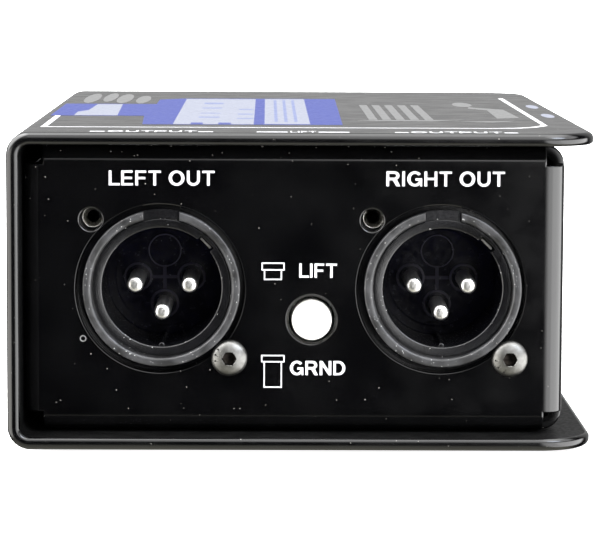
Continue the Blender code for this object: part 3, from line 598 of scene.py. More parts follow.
def fold(bm, ends, out, inward, radius, flat=0.0, trims=(0.0, 0.0)):
    """Folds the outer skin of a sheet off one edge, then on along inward, trimming the free edge's ends."""
    ends = [Vector(end) for end in ends]
    out, inward = Vector(out), Vector(inward)
    along = (ends[1] - ends[0]).normalized()
    rows = []
    for i in range(BEND_STEPS + 1):
        angle = math.radians(90) * i / BEND_STEPS
        move = out * radius * math.sin(angle) + inward * radius * (1 - math.cos(angle))
        rows.append([end + move for end in ends])
    if flat:
        first, second = (end + inward * flat for end in rows[-1])
        rows.append([first + along * trims[0], second - along * trims[1]])
    for near, far in zip(rows, rows[1:]):
        flat_face(bm, (near[0], near[1], far[1], far[0]))


def flat_face(bm, corners):
    bm.faces.new([bm.verts.new(corner) for corner in corners])


def sheet_metal(name, bm, outward_face, arris):
    """Joins the skin's faces, thickens them inwards and rounds the cut edges, more outside than inside."""
    bmesh.ops.remove_doubles(bm, verts=bm.verts, dist=1e-6)
    obj = solid(name, bm, PAINT)
    known = max(obj.data.polygons, key=lambda face: face.center.dot(Vector(outward_face)))
    obj.data.materials.append(THIN_PAINT)
    obj.data.materials.append(PAINT)
    thick = obj.modifiers.new("sheet", "SOLIDIFY")
    thick.thickness = SHEET
    thick.offset = -1 if known.normal.dot(Vector(outward_face)) > 0 else 1
    thick.use_even_offset = True
    thick.material_offset, thick.material_offset_rim = 1, 2
    mark_arrises(applied(obj).data, arris)
    bevel = obj.modifiers.new("arris", "BEVEL")
    bevel.width = max(arris)
    bevel.segments = 6
    bevel.limit_method = "WEIGHT"
    bevel.material = 0
    applied(obj)
    for face in obj.data.polygons:
        if face.material_index == 2:
            face.material_index = 0
    obj.data.materials.pop()
    return obj


def mark_arrises(mesh, arris):
    """Weights each edge between a cut edge's face (2) and the outside (0) or the inside (1) of the sheet."""
    bm = bmesh.new()
    bm.from_mesh(mesh)
    weight = bm.edges.layers.float.new("bevel_weight_edge")
    for edge in bm.edges:
        kinds = sorted(face.material_index for face in edge.link_faces)
        if kinds in ([0, 2], [1, 2]):
            edge[weight] = arris[kinds[0]] / max(arris)
        elif kinds == [2, 2] and edge.calc_face_angle() > math.radians(50):
            edge[weight] = min(arris) / max(arris)
    bm.to_mesh(mesh)
    bm.free()


def hole_profile(radius, roll):
    """Profile of the cutter for a punched hole whose outer edge is rolled over by a small radius."""
    edge = [
        (radius + roll - roll * math.sin(angle), roll * (math.cos(angle) - 1))
        for angle in degrees(12, 91, 13)
    ]
    lift = 0.05 * MM  # the roll starts as a cone from this far above the sheet
    mouth = edge[0][0] + (lift - edge[0][1]) / math.tan(math.radians(12))
    end = -SHEET - BEYOND
    return [(0, BEYOND), (mouth, BEYOND), (mouth, lift)] + edge + [(radius, end), (0, end)]


def sleeve_plate(z, steps=18):
    """Outline of the flat part of the top or bottom plate, with its two right-hand corners rounded."""
    left, right, back = SLEEVE_LOW.x + SLEEVE_BEND, SLEEVE_HIGH.x, SLEEVE_HIGH.y
    points = [(left, back, z)]
    centre_x, centre_y = right - SLEEVE_CORNER, back - SLEEVE_CORNER
    for side, start in ((1, 90), (-1, 0)):
        for i in range(steps + 1):
            angle = math.radians(start - 90 * i / steps)
            x = centre_x + SLEEVE_CORNER * math.cos(angle)
            points.append((x, side * centre_y + SLEEVE_CORNER * math.sin(angle), z))
    points.append((left, -back, z))
    return points


def sleeve():
    """The C-shaped sleeve. Its top is a film of ink lower than the CAD's, so that the print ends level."""
    bm = bmesh.new()
    left, half = SLEEVE_LOW.x, SLEEVE_HIGH.y
    top = SLEEVE_HIGH.z - FILM
    for z, up in ((top, 1), (SLEEVE_LOW.z, -1)):
        plate = sleeve_plate(z)
        flat_face(bm, plate)
        fold(bm, (plate[0], plate[-1]), (-1, 0, 0), (0, 0, -up), SLEEVE_BEND)
    low, high = SLEEVE_LOW.z + SLEEVE_BEND, top - SLEEVE_BEND
    flat_face(bm, [(left, -half, low), (left, half, low), (left, half, high), (left, -half, high)])
    obj = sheet_metal("sleeve_shell", bm, (0, 0, 1), SLEEVE_ARRIS)
    mouth, hole, end = 3.9 * MM, 1.6 * MM, -2.8 * MM
    seat = [(0, BEYOND), (mouth, BEYOND), (hole, -1.3 * MM), (hole, end), (0, end)]
    seats = [solid("seat", turned(seat, 64), at=below_at(name, SLEEVE_LOW.z)) for name in SLEEVE_SCREWS]
    combine(obj, "DIFFERENCE", seats)
    return finished(obj, "black_paint", "outer_sleeve")


def front_at(x, z):
    """Places something on the front panel, its local Z out of it."""
    return Matrix.Translation((x, FRONT_PANEL, z)) @ FRONT_TURN


def rear_at(x, z):
    return Matrix.Translation((x, REAR_PANEL, z)) @ REAR_TURN


def below_at(node, z):
    return Matrix.Translation((*middle(node).xy, z)) @ DOWN_TURN


def panel_holes():
    """A cutter for each hole in the chassis: matrix, radius and how far its edge is rolled over."""
    for side in SIDES:
        axis = XLR_AXES[side]
        x, z = axis.x + XLR_HOLES_SHIFT, axis.z + XLR_HOLES_SHIFT
        yield front_at(x, z), XLR_HOLE, 0.28 * MM
        for across, up in ((EAR, -EAR), (-EAR, EAR)):
            yield front_at(x + across, z + up), EAR_HOLE, 0.3 * MM
    lift, pad = middle("ground_lift_cap"), middle("pad_cap")
    yield front_at(lift.x, lift.z), BUTTON_HOLE, 0.56 * MM
    yield rear_at(pad.x, pad.z), BUTTON_HOLE, 0.56 * MM
    for name in JACKS:
        axis = middle(f"{name}_nut")
        yield rear_at(axis.x, axis.z), JACK_HOLE, 0.25 * MM
    for name in SLEEVE_SCREWS:
        yield below_at(name, CHASSIS_LOW.z), 1.6 * MM, 0.15 * MM


def chassis():
    """Front panel, side wall and rear panel in one sheet, with turned-in edges and open corners."""
    left, right = CHASSIS_LOW.x + CHASSIS_BEND, CHASSIS_HIGH.x - CHASSIS_BEND
    low, high = CHASSIS_LOW.z + CHASSIS_BEND, CHASSIS_HIGH.z - CHASSIS_BEND
    wall_front = FRONT_PANEL + CHASSIS_BEND
    inward = (0, 1, 0)
    bm = bmesh.new()
    front = FRONT_PANEL
    flat_face(bm, [(left, front, low), (right, front, low), (right, front, high), (left, front, high)])
    for z, up in ((high, 1), (low, -1)):
        edge = ((left, front, z), (right, front, z))
        fold(bm, edge, (0, 0, up), inward, CHASSIS_BEND, PANEL_FLANGE, (0, PANEL_FLANGE))
    fold(bm, ((left, front, low), (left, front, high)), (-1, 0, 0), inward, CHASSIS_BEND, PANEL_FLANGE)
    fold(bm, ((right, front, low), (right, front, high)), (1, 0, 0), inward, CHASSIS_BEND)
    flange_front = wall_front + RELIEF
    upward = [(wall_front, low), (flange_front, low), (0, low)]
    downward = [(y, high) for y, _ in reversed(upward)]
    flat_face(bm, [(CHASSIS_HIGH.x, y, z) for y, z in upward + downward])
    for z, up in ((high, 1), (low, -1)):
        edge = ((CHASSIS_HIGH.x, flange_front, z), (CHASSIS_HIGH.x, 0, z))
        fold(bm, edge, (0, 0, up), (-1, 0, 0), CHASSIS_BEND, WALL_FLANGE, (WALL_FLANGE, 0))
    copied = bmesh.ops.duplicate(bm, geom=bm.verts[:] + bm.edges[:] + bm.faces[:])["geom"]
    verts = [part for part in copied if isinstance(part, bmesh.types.BMVert)]
    bmesh.ops.scale(bm, verts=verts, vec=(1, -1, 1))
    obj = sheet_metal("chassis_shell", bm, (0, -1, 0), CHASSIS_ARRIS)
    holes = [solid("hole", turned(hole_profile(*size), 96), at=at) for at, *size in panel_holes()]
    combine(obj, "DIFFERENCE", holes)
    return finished(obj, "black_paint", "inner_chassis")


# ---------------------------------------------------------------- connectors, buttons and screws


def xlr_housing(side):
    """Collar, ear plate and cup, with the latch gap at the top of the raised rim."""
    at = front_at(XLR_AXES[side].x, XLR_AXES[side].z)
    profile = [
        (RIM, COLLAR_PROUD, 0.5 * MM),
        (COLLAR, COLLAR_PROUD, 0.28 * MM),
        (COLLAR, CUP_FRONT),
        (CUP, CUP_FRONT),
        (CUP, CUP_END),
        (INSERT_SEAT, CUP_END),
        (INSERT_SEAT, XLR_FLOOR),
        (BORE, XLR_FLOOR),
        (BORE, 0, 0.2 * MM),
        (GROOVE, RIM_FOOT, 0.1 * MM),
        (GROOVE + 0.03 * MM, RIM_FOOT - 0.2 * MM),
        (RIM, RIM_FOOT - 0.2 * MM, 0.05 * MM),
    ]
    housing = solid(f"{side}_connector_shell", turned(rounded(profile), 160, ring=True), XLR_PLASTIC)
    top = COLLAR_PROUD + BEYOND
    latch = block((-LATCH_HALF, BORE + 0.3 * MM, RIM_FOOT), (LATCH_HALF, COLLAR + BEYOND, top))
    half, catch_end, catch_start = 2.2 * MM, -6 * MM, -2.6 * MM
    window = block((-half, BORE - BEYOND, catch_end), (half, CUP - 0.7 * MM, catch_start))
    half, contact_end = 1.3 * MM, -11 * MM
    slot_low, slot_high = (BORE - 0.4 * MM, -half, contact_end), (BORE + 0.75 * MM, half, BEYOND)
    slot = block(slot_low, slot_high, math.radians(45))
    cuts = [solid("cut", bm) for bm in (latch, window, slot)]
    rounded_edges(combine(housing, "DIFFERENCE", cuts), 0.1 * MM, 2)
    plate_low, plate_high = (-EAR_PLATE, -EAR_PLATE, EAR_PLATE_BACK), (EAR_PLATE, EAR_PLATE, EAR_PLATE_FRONT)
    plate = solid(f"{side}_ear_plate", block(plate_low, plate_high, bevel=0.4 * MM))
    behind, inside, used = -5 * MM, 9.6 * MM, EAR_HOLE + 0.15 * MM
    bore = [(0, behind), (inside, behind), (inside, 0), (0, 0)]
    screwed = [(0, behind), (used, behind), (used, -BEYOND), (0, -BEYOND)]
    narrow, wide, mouth = 1.0 * MM, 1.75 * MM, -1.8 * MM
    cone = [(0, behind), (narrow, behind), (narrow, -3.6 * MM), (wide, mouth), (0, mouth)]
    holes = [peg(bore, 64), peg(screwed, 64, (EAR, -EAR)), peg(cone, 64, (-EAR, EAR))]
    combine(plate, "DIFFERENCE", holes)
    foot, top, half = XLR_FLOOR + 0.2 * MM, -1.2 * MM, 0.45 * MM
    rib = [(0, foot), (half, foot), (half, top, 0.15 * MM), (0, top)]
    combine(housing, "UNION", [plate, peg(rounded(rib), 32, (0, -BORE))])
    return finished(housing, "xlr_plastic", f"{side}_xlr_housing", at=at)


def xlr_insert(side):
    """Floor of the connector: a disc with a raised step, a ring round each pin, a boss and a cross."""
    low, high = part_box(f"{side}_xlr_insert")
    radius, depth = (high.x - low.x) / 2, high.y - low.y
    at = Matrix.Translation((XLR_AXES[side].x, low.y, XLR_AXES[side].z)) @ FRONT_TURN
    face, lip, base = -0.25 * MM, -0.35 * MM, -0.4 * MM
    step = 7.2 * MM
    outline = [(0, face), (step, face, 0.1 * MM), (step + 0.15 * MM, lip, 0.05 * MM)]
    outline += [(radius, lip, 0.1 * MM), (radius, -depth), (0, -depth)]
    disc = solid(f"{side}_connector_floor", turned(rounded(outline), 96), INSERT_PLASTIC)

    def raised_ring(inner, outer, centre):
        top = -0.01 * MM
        outline = [(inner, base), (inner, top, 0.04 * MM), (outer, top, 0.08 * MM), (outer, base)]
        bm = turned(rounded(outline, 3), 48, ring=True)
        return solid("ring", bm, at=Matrix.Translation((*centre, 0)))

    below, loose = -depth - BEYOND, PIN + 0.05 * MM
    hole = [(0, below), (loose, below), (loose, BEYOND), (0, BEYOND)]
    holes = [peg(hole, 48, centre) for centre in PIN_PLACES.values()]
    raised = [raised_ring(1.75 * MM, 2.15 * MM, centre) for centre in PIN_PLACES.values()]
    above = (0, PIN_CIRCLE)
    raised.append(raised_ring(2.25 * MM, 2.5 * MM, above))
    radius, top = 1.5 * MM, -0.18 * MM
    raised.append(peg([(0, base), (radius, base), (radius, top), (0, top)], 48, above))
    arm, half = 0.26 * MM, 1.75 * MM
    quarter = [(half, arm), (arm, arm), (arm, half)]
    cross = []
    for _ in range(4):
        cross += quarter
        quarter = [(-y, x) for x, y in quarter]
    raised.append(solid("cross", prism(cross, base, -0.02 * MM)))
    combine(disc, "UNION", raised)
    combine(disc, "DIFFERENCE", holes)
    return finished(disc, "insert_plastic", f"{side}_xlr_insert", at=at)


def xlr_pin(side, number, centre):
    """Turned contact with a domed tip, a small dimple in it, and a thin lead down through the board."""
    node = f"{side}_xlr_pin_{number}"
    low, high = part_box(node)
    axis = XLR_AXES[side]
    across, up = centre
    lead, dome, bend = 0.45 * PIN, 0.6 * MM, 0.5 * MM
    behind, below = FRONT_PANEL - high.y + lead, low.z - axis.z
    points, radii = [], []
    for share, depth in ((0.06, 0.06), (0.12, 0.02), (0.2, 0.0)):
        points.append((across, up, PIN_TIP - depth * MM))
        radii.append(share * PIN)
    for angle in degrees(20, 91, 10):
        points.append((across, up, PIN_TIP - dome * (1 - math.cos(angle))))
        radii.append(PIN * (0.2 + 0.8 * math.sin(angle) ** 0.8))
    for depth, radius in ((CUP_END + 0.5 * MM, PIN), (CUP_END + 0.45 * MM, lead), (behind + 0.5 * MM, lead)):
        points.append((across, up, depth))
        radii.append(radius)
    for angle in degrees(15, 91, 15):
        points.append((across, up - bend * (1 - math.cos(angle)), behind + bend * (1 - math.sin(angle))))
        radii.append(lead)
    wire = swept(points + [(across, below, behind)], radii + [lead], 32)
    pin = solid(f"{side}_contact_pin_{number}", wire, SILVER, front_at(axis.x, axis.z), 60)
    return stands_for(pin, "silver_plate", node)


def socket_cutter(top, deep):
    """Hexagonal recess with a drilled bottom and a small chamfer at its mouth, its inside near-black steel as
    painted shade.
    """
    corner, drop = to_corner(SOCKET_ACROSS_FLATS), 0.1 * MM
    socket = solid("socket", prism(hexagon(SOCKET_ACROSS_FLATS), top - deep, top + BEYOND))
    mouth = [(0, top + BEYOND), (corner + BEYOND, top + BEYOND), (corner - drop, top - drop), (0, top - drop)]
    drill, end = SOCKET_ACROSS_FLATS / 2 - 0.03 * MM, top - deep
    point = [(0, end + 0.05 * MM), (drill, end + 0.05 * MM), (drill, end), (0, end - 0.5 * drill)]
    combine(socket, "UNION", [peg(mouth, 48), peg(point, 48)])
    socket.data.materials.clear()
    # the socket's faces below its chamfer take the near-black steel, as painted shade
    for look in (STAINLESS, PAINTED_SHADE_STEEL):
        socket.data.materials.append(look)
    for face in socket.data.polygons:
        face.material_index = int(face.center.z < top - drop)
    return socket


def panel_screw(side):
    """Domed hex-socket screw with three shallow generic stamps on its head."""
    node = f"{side}_xlr_screw"
    place = middle(node)
    seat = FRONT_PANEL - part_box(node)[0].y
    rest = 0.2 * MM  # the head's underside, above the panel
    rim = rest + 0.25 * MM
    profile = [(0, seat), (0.5 * MM, seat - 0.002 * MM)]
    for angle in degrees(20, 90, 5):
        profile.append((BUTTON_HEAD * math.sin(angle), rim + (seat - rim) * math.cos(angle) ** 0.9))
    profile += [(BUTTON_HEAD, rim), (BUTTON_HEAD, rest + 0.08 * MM), (BUTTON_HEAD - 0.08 * MM, rest)]
    profile += [(SCREW_SHANK, rest), (SCREW_SHANK, 0.4 * MM - SCREW_LENGTH)]
    profile += [(SCREW_SHANK - 0.35 * MM, -SCREW_LENGTH), (0, -SCREW_LENGTH)]
    screw = solid(f"{side}_panel_screw", turned(profile, 96), STAINLESS)
    # second slot: near-black steel for the painted shade inside the socket
    screw.data.materials.append(PAINTED_SHADE_STEEL)
    cuts = [socket_cutter(seat - 0.02 * MM, 1.7 * MM)]
    half_long, half_wide = 0.32 * MM, 0.13 * MM
    slope = Matrix.Rotation(math.radians(28), 4, "Y")
    on_head = Matrix.Translation((1.85 * MM, 0, seat - 0.42 * MM)) @ slope
    for bearing in STAMPS[side]:
        stamp = block((-half_long, -half_wide, -0.16 * MM), (half_long, half_wide, BEYOND))
        turn = Matrix.Rotation(math.radians(bearing), 4, "Z")
        cuts.append(solid("stamp", stamp, at=turn @ on_head))
    combine(screw, "DIFFERENCE", cuts)
    return finished(screw, "stainless", node, at=front_at(place.x, place.z))


def paint_chip():
    """Ring of bare metal where the paint has come off the front panel."""
    foot, top, edge = -0.05 * MM, 0.03 * MM, 0.02 * MM
    outline = [(0.3 * MM, foot), (0.33 * MM, top, edge), (0.46 * MM, top, edge), (0.5 * MM, foot)]
    ring = turned(rounded(outline), 40, ring=True)
    stands_for(solid("paint_chip", ring, CAN_METAL, front_at(*PAINT_CHIP)), "nickel")


def spare_ear(side):
    """Bright countersunk ferrule seen through the panel's spare fixing hole."""
    at = front_at(XLR_AXES[side].x - EAR, XLR_AXES[side].z + EAR)
    face, back = EAR_PLATE_FRONT + 0.12 * MM, -3.9 * MM
    outer, edge = 1.5 * MM, 0.05 * MM
    outline = [(1.42 * MM, face, edge), (outer, face, edge), (outer, back)]
    outline += [(0.85 * MM, back), (0.95 * MM, face - 0.95 * MM, 0.1 * MM)]
    ferrule = solid(f"{side}_spare_ferrule", turned(rounded(outline), 64, ring=True), NICKEL, at)
    return finished(ferrule, "nickel")


def sleeve_screw(node):
    """Countersunk hex-socket screw, its head just inside the sleeve's underside."""
    top, head = -0.1 * MM, 2.6 * MM
    profile = [(0, top), (head, top, 0.06 * MM), (head, -0.3 * MM, 0.05 * MM), (SCREW_SHANK, -1.55 * MM)]
    profile += [(SCREW_SHANK, 0.4 * MM - SCREW_LENGTH), (SCREW_SHANK - 0.35 * MM, -SCREW_LENGTH)]
    profile.append((0, -SCREW_LENGTH))
    screw = solid(f"{node}_turned", turned(rounded(profile), 64), STAINLESS)
    # second slot: near-black steel for the painted shade inside the socket
    screw.data.materials.append(PAINTED_SHADE_STEEL)
    combine(screw, "DIFFERENCE", [socket_cutter(top, 1.0 * MM)])
    return finished(screw, "stainless", node, at=below_at(node, SLEEVE_LOW.z))


def push_button(name, turn):
    """Cap of a push switch, slightly crowned, with the square socket for its stem."""
    node = f"{name}_cap"
    low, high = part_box(node)
    centre = middle(node)
    radius, back = (high.x - low.x) / 2, high.y - low.y
    face = low.y if turn is FRONT_TURN else high.y
    crown, land = 0.1 * MM, radius - 0.14 * MM
    profile = [(0, 0), (0.9 * MM, -0.1 * crown), (1.8 * MM, -0.45 * crown)]
    profile += [(land, -crown, 0.5 * MM), (land, 0.95 * MM - back)]
    profile += [(radius, 0.85 * MM - back), (radius, -back), (0, -back)]
    cap = solid(f"{name}_button", turned(rounded(profile, 6), 96), BUTTON_PLASTIC)
    room = 1.45 * MM
    socket = block((-room, -room, -back - BEYOND), (room, room, -2.3 * MM), bevel=0.15 * MM)
    combine(cap, "DIFFERENCE", [solid("stem_socket", socket)])
    at = Matrix.Translation((centre.x, face, centre.z)) @ turn
    return finished(cap, "button_plastic", node, at=at, body=f"{name}_button")


def spring(name):
    """Return spring inside the switch."""
    node = f"{name}_spring"
    low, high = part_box(node)
    centre = middle(node)
    wire = 0.2 * MM
    coil = (high.x - low.x) / 2 - wire
    turns, per_turn = 5.0, 32
    count = int(turns * per_turn)
    points = []
    for i in range(count + 1):
        angle = math.tau * i / per_turn
        along = low.y + wire + (high.y - low.y - 2 * wire) * i / count
        points.append((centre.x + coil * math.cos(angle), along, centre.z + coil * math.sin(angle)))
    obj = solid(f"{name}_return_spring", swept(points, [wire] * len(points), 10), SPRING_STEEL, sharp=60)
    stands_for(obj, "spring_steel", node)
    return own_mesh(obj)


def jack(name):
    """Quarter-inch jack: moulded body with a threaded bushing, a washer and a chamfered nut."""
    axis = middle(f"{name}_nut")
    at = rear_at(axis.x, axis.z)
    low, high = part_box(f"{name}_body")
    half_width = (high.x - low.x) / 2
    bottom, roof = low.z - axis.z, high.z - axis.z
    proud, back, front = high.y - REAR_PANEL, low.y - REAR_PANEL, -2.0 * MM
    moulding = block((-half_width, bottom, back), (half_width, roof, front), bevel=0.5 * MM)
    body = solid(f"{name}_moulding", moulding, JACK_PLASTIC)
    pitch, plain, end = 0.7 * MM, BUSHING - 0.1 * MM, proud - 0.35 * MM
    thread = [(0, front - BEYOND), (plain, front - BEYOND), (plain, 0.4 * MM)]
    height = 0.5 * MM
    while height + pitch < end:
        thread += [(BUSHING, height + 0.2 * pitch), (BUSHING, height + 0.45 * pitch)]
        thread.append((BUSHING - 0.25 * MM, height + 0.8 * pitch))
        height += pitch
    thread += [(BUSHING - 0.2 * MM, end), (BUSHING - 0.4 * MM, proud, 0.1 * MM), (0, proud)]
    combine(body, "UNION", [peg(rounded(thread), 96)])
    bore = [(0, back - BEYOND), (JACK_BORE, back - BEYOND), (JACK_BORE, proud - 0.6 * MM)]
    bore += [(JACK_BORE + 0.55 * MM, proud), (JACK_BORE + 0.75 * MM, proud + 0.2 * MM), (0, proud + 0.2 * MM)]
    half = 2.2 * MM  # of the openings for the two contacts
    tip_slot = block((-half, 2.0 * MM, back - BEYOND), (half, roof + BEYOND, -16 * MM))
    sleeve_slot = block((-half, bottom - BEYOND, -15.5 * MM), (half, -2 * MM, -5 * MM))
    cuts = [turned(bore, 96), tip_slot, sleeve_slot]
    combine(body, "DIFFERENCE", [solid("cut", bm) for bm in cuts])
    finished(body, "jack_plastic", f"{name}_body", at=at)

    nut_low, nut_high = (place.y - REAR_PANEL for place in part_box(f"{name}_nut"))
    corner = to_corner(NUT_ACROSS_FLATS)
    nut = solid(f"{name}_hex_nut", prism(hexagon(NUT_ACROSS_FLATS), nut_low, nut_high), NICKEL)
    drop, flat, widest = 0.42 * MM, corner - 0.75 * MM, corner + 0.05 * MM
    envelope = [(0, nut_low), (flat, nut_low), (widest, nut_low + drop)]
    envelope += [(widest, nut_high - drop), (flat, nut_high), (0, nut_high)]
    combine(nut, "INTERSECT", [peg(envelope, 96)])
    hole = BUSHING + 0.15 * MM
    bored = [(0, nut_low - BEYOND), (hole + BEYOND, nut_low - BEYOND), (hole, nut_low + 0.3 * MM)]
    bored += [(hole, nut_high - 0.3 * MM), (hole + BEYOND, nut_high + 0.7 * MM), (0, nut_high + 0.7 * MM)]
    combine(nut, "DIFFERENCE", [peg(bored, 96)])
    finished(rounded_edges(nut, 0.07 * MM, 2, 40), "nickel", f"{name}_nut", at=at, sharp=25)

    low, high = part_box(f"{name}_washer")
    outer, inner = (high.x - low.x) / 2, BUSHING + 0.3 * MM
    foot, top = low.y - REAR_PANEL, high.y - REAR_PANEL
    edge = 0.14 * MM
    ring = [(outer, top, edge), (outer, foot, edge), (inner, foot, edge), (inner, top, edge)]
    washer = solid(f"{name}_flat_washer", turned(rounded(ring), 96, ring=True), NICKEL, at)
    finished(washer, "nickel", f"{name}_washer")


def no_slip_pad():
    """Rubber sheet with fine ribs along its length, rounded corners and a hole under each screw."""
    low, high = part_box("no_slip_pad")
    pitch, groove, foot, shoulder = 2.5 * MM, 0.18 * MM, 0.3 * MM, 0.55 * MM
    count = round((high.x - low.x) / pitch)
    outline = [(high.x, low.z + groove), (high.x, high.z), (low.x, high.z), (low.x, low.z + groove)]
    for i in range(count):
        start = low.x + (high.x - low.x) * i / count
        end = start + (high.x - low.x) / count
        outline += [(start + foot, low.z + groove), (start + shoulder, low.z)]
        outline += [(end - shoulder, low.z), (end - foot, low.z + groove)]
    ribs = prism(outline, -high.y, -low.y)
    pad = solid("ribbed_pad", ribs, RUBBER, FRONT_TURN)
    corner = 5.0 * MM
    plan = [(x, y, corner) for x, y in ((low.x, low.y), (high.x, low.y), (high.x, high.y), (low.x, high.y))]
    envelope = solid("pad_outline", prism(rounded(plan, 8), low.z - BEYOND, high.z + BEYOND))
    combine(pad, "INTERSECT", [envelope])
    radius, top = 4.0 * MM, high.z + BEYOND
    hole = [(0, -BEYOND), (radius, -BEYOND), (radius, top), (0, top)]
    combine(pad, "DIFFERENCE", [peg(hole, 48, middle(name).xy) for name in SLEEVE_SCREWS])
    return finished(pad, "rubber", "no_slip_pad")


# ---------------------------------------------------------------- lettering and print


STEM, BAR = 0.178, 0.15  # stroke widths of the capitals, as shares of their height


def oval(x, y, radius_x, radius_y, steps):
    return arc(x, y, radius_x, radius_y, 0, 360, steps)[:-1]


def arc(centre_x, centre_y, radius_x, radius_y, start, end, steps=12):
    angles = (math.radians(start + (end - start) * i / steps) for i in range(steps + 1))
    return [(centre_x + radius_x * math.cos(a), centre_y + radius_y * math.sin(a)) for a in angles]


def capital(letter):
    """Width and outlines of a bold sans capital, one unit high."""
    low_arm, high_arm = (1 - BAR) / 2, (1 + BAR) / 2
    if letter == "I":
        return STEM, [[(0, 0), (STEM, 0), (STEM, 1), (0, 1)]]
    if letter == "L":
        return 0.72, [[(0, 0), (0.72, 0), (0.72, BAR), (STEM, BAR), (STEM, 1), (0, 1)]]
    if letter == "E":
        foot = [(0, 0), (0.76, 0), (0.76, BAR), (STEM, BAR), (STEM, low_arm), (0.7, low_arm)]
        head = [(0.7, high_arm), (STEM, high_arm), (STEM, 1 - BAR), (0.74, 1 - BAR), (0.74, 1), (0, 1)]
        return 0.76, [foot + head]
    if letter == "F":
        foot = [(0, 0), (STEM, 0), (STEM, 0.42), (0.64, 0.42), (0.64, 0.42 + BAR), (STEM, 0.42 + BAR)]
        return 0.7, [foot + [(STEM, 1 - BAR), (0.7, 1 - BAR), (0.7, 1), (0, 1)]]
    if letter == "T":
        left, right = 0.4 - STEM / 2, 0.4 + STEM / 2
        stem = [(left, 1 - BAR), (left, 0), (right, 0), (right, 1 - BAR)]
        return 0.8, [stem + [(0.8, 1 - BAR), (0.8, 1), (0, 1), (0, 1 - BAR)]]
    if letter == "H":
        far = 0.84 - STEM
        left = [(0, 1), (0, 0), (STEM, 0), (STEM, low_arm), (far, low_arm), (far, 0), (0.84, 0)]
        return 0.84, [left + [(0.84, 1), (far, 1), (far, high_arm), (STEM, high_arm), (STEM, 1)]]
    if letter == "N":
        stem = 0.19
        left = [(0, 1), (0, 0), (stem, 0), (stem, 0.66), (0.84 - stem, 0), (0.84, 0)]
        return 0.84, [left + [(0.84, 1), (0.84 - stem, 1), (0.84 - stem, 0.34), (stem, 1)]]
    if letter == "O":
        return 1.02, [oval(0.51, 0.5, 0.51, 0.512, 40), oval(0.51, 0.5, 0.51 - 0.21, 0.512 - 0.165, 40)]
    if letter == "U":
        outer, inner = arc(0.42, 0.38, 0.42, 0.392, 180, 360), arc(0.42, 0.38, 0.42 - STEM, 0.22, 360, 180)
        return 0.84, [[(0, 1)] + outer + [(0.84, 1), (0.84 - STEM, 1)] + inner + [(STEM, 1)]]
    if letter == "D":
        outer = [(0, 1), (0, 0)] + arc(0.38, 0.5, 0.48, 0.5, -90, 90, 20)
        return 0.86, [outer, [(STEM, 1 - BAR), (STEM, BAR)] + arc(0.36, 0.5, 0.29, 0.5 - BAR, -90, 90, 16)]
    if letter == "P":
        outer = [(0, 1), (0, 0), (STEM, 0), (STEM, 0.36)] + arc(0.46, 0.68, 0.33, 0.32, -90, 90, 16)
        return 0.79, [outer, [(STEM, 0.84), (STEM, 0.52)] + arc(0.44, 0.68, 0.15, 0.16, -90, 90, 12)]
    if letter == "R":
        bowl = arc(0.53, 0.71, 0.32, 0.29, -62, 90, 14)
        outer = [(0, 1), (0, 0), (STEM, 0), (STEM, 0.4), (0.42, 0.4), (0.65, 0), (0.9, 0)] + bowl
        return 0.88, [outer, [(STEM, 0.84), (STEM, 0.57)] + arc(0.5, 0.705, 0.14, 0.135, -90, 90, 12)]
    if letter == "A":
        outer = [(0, 0), (0.22, 0), (0.29, 0.22), (0.63, 0.22), (0.7, 0), (0.92, 0), (0.57, 1), (0.35, 1)]
        return 0.92, [outer, [(0.34, 0.38), (0.58, 0.38), (0.46, 0.75)]]
    if letter == "G":
        outer = arc(0.5, 0.5, 0.5, 0.512, 40, 306, 30)
        spur = [(0.82, 0.12), (0.85, 0), (0.97, 0), (0.97, 0.54), (0.54, 0.54), (0.54, 0.38), (0.77, 0.38)]
        return 0.97, [outer + spur + arc(0.5, 0.5, 0.285, 0.345, 325, 40, 26)]
    raise ValueError(letter)


def printed(name, loops, look, at):
    """A thin film of ink inside outlines, with a hole wherever one outline lies inside another."""
    bm = bmesh.new()
    for loop in loops:
        verts = [bm.verts.new((x, y, 0)) for x, y in loop]
        for first, second in zip(verts, verts[1:] + verts[:1]):
            bm.edges.new((first, second))
    bmesh.ops.triangle_fill(bm, use_beauty=True, edges=bm.edges)
    return stands_for(solid(name, extruded(bm, bm.faces[:], FILM), look, at, sharp=30), "black_paint")


def lettered(word, left, right, low, high):
    """Outlines of a word fitted into a rectangle."""
    gap, space = 0.15, 0.42
    loops, reach = [], 0.0
    for letter in word:
        if letter == " ":
            reach += space
            continue
        width, outlines = capital(letter)
        loops += [[(reach + x, y) for x, y in loop] for loop in outlines]
        reach += width + (gap * 0.55 if letter in "LT" else gap)
    reach -= gap
    scale_x, scale_y = (right - left) / reach, high - low
    return [[(left + x * scale_x, low + y * scale_y) for x, y in loop] for loop in loops]


def rectangle(left, right, low, high):
    return [(left, low), (right, low), (right, high), (left, high)]


def box_line(left, right, low, high, line):
    """Outlines of a rectangle drawn with a line of this width."""
    return [rectangle(left, right, low, high), rectangle(left + line, right - line, low + line, high - line)]


def scaled(loops):
    """Outlines drawn in millimetres, in metres."""
    return [[(x * MM, y * MM) for x, y in loop] for loop in loops]


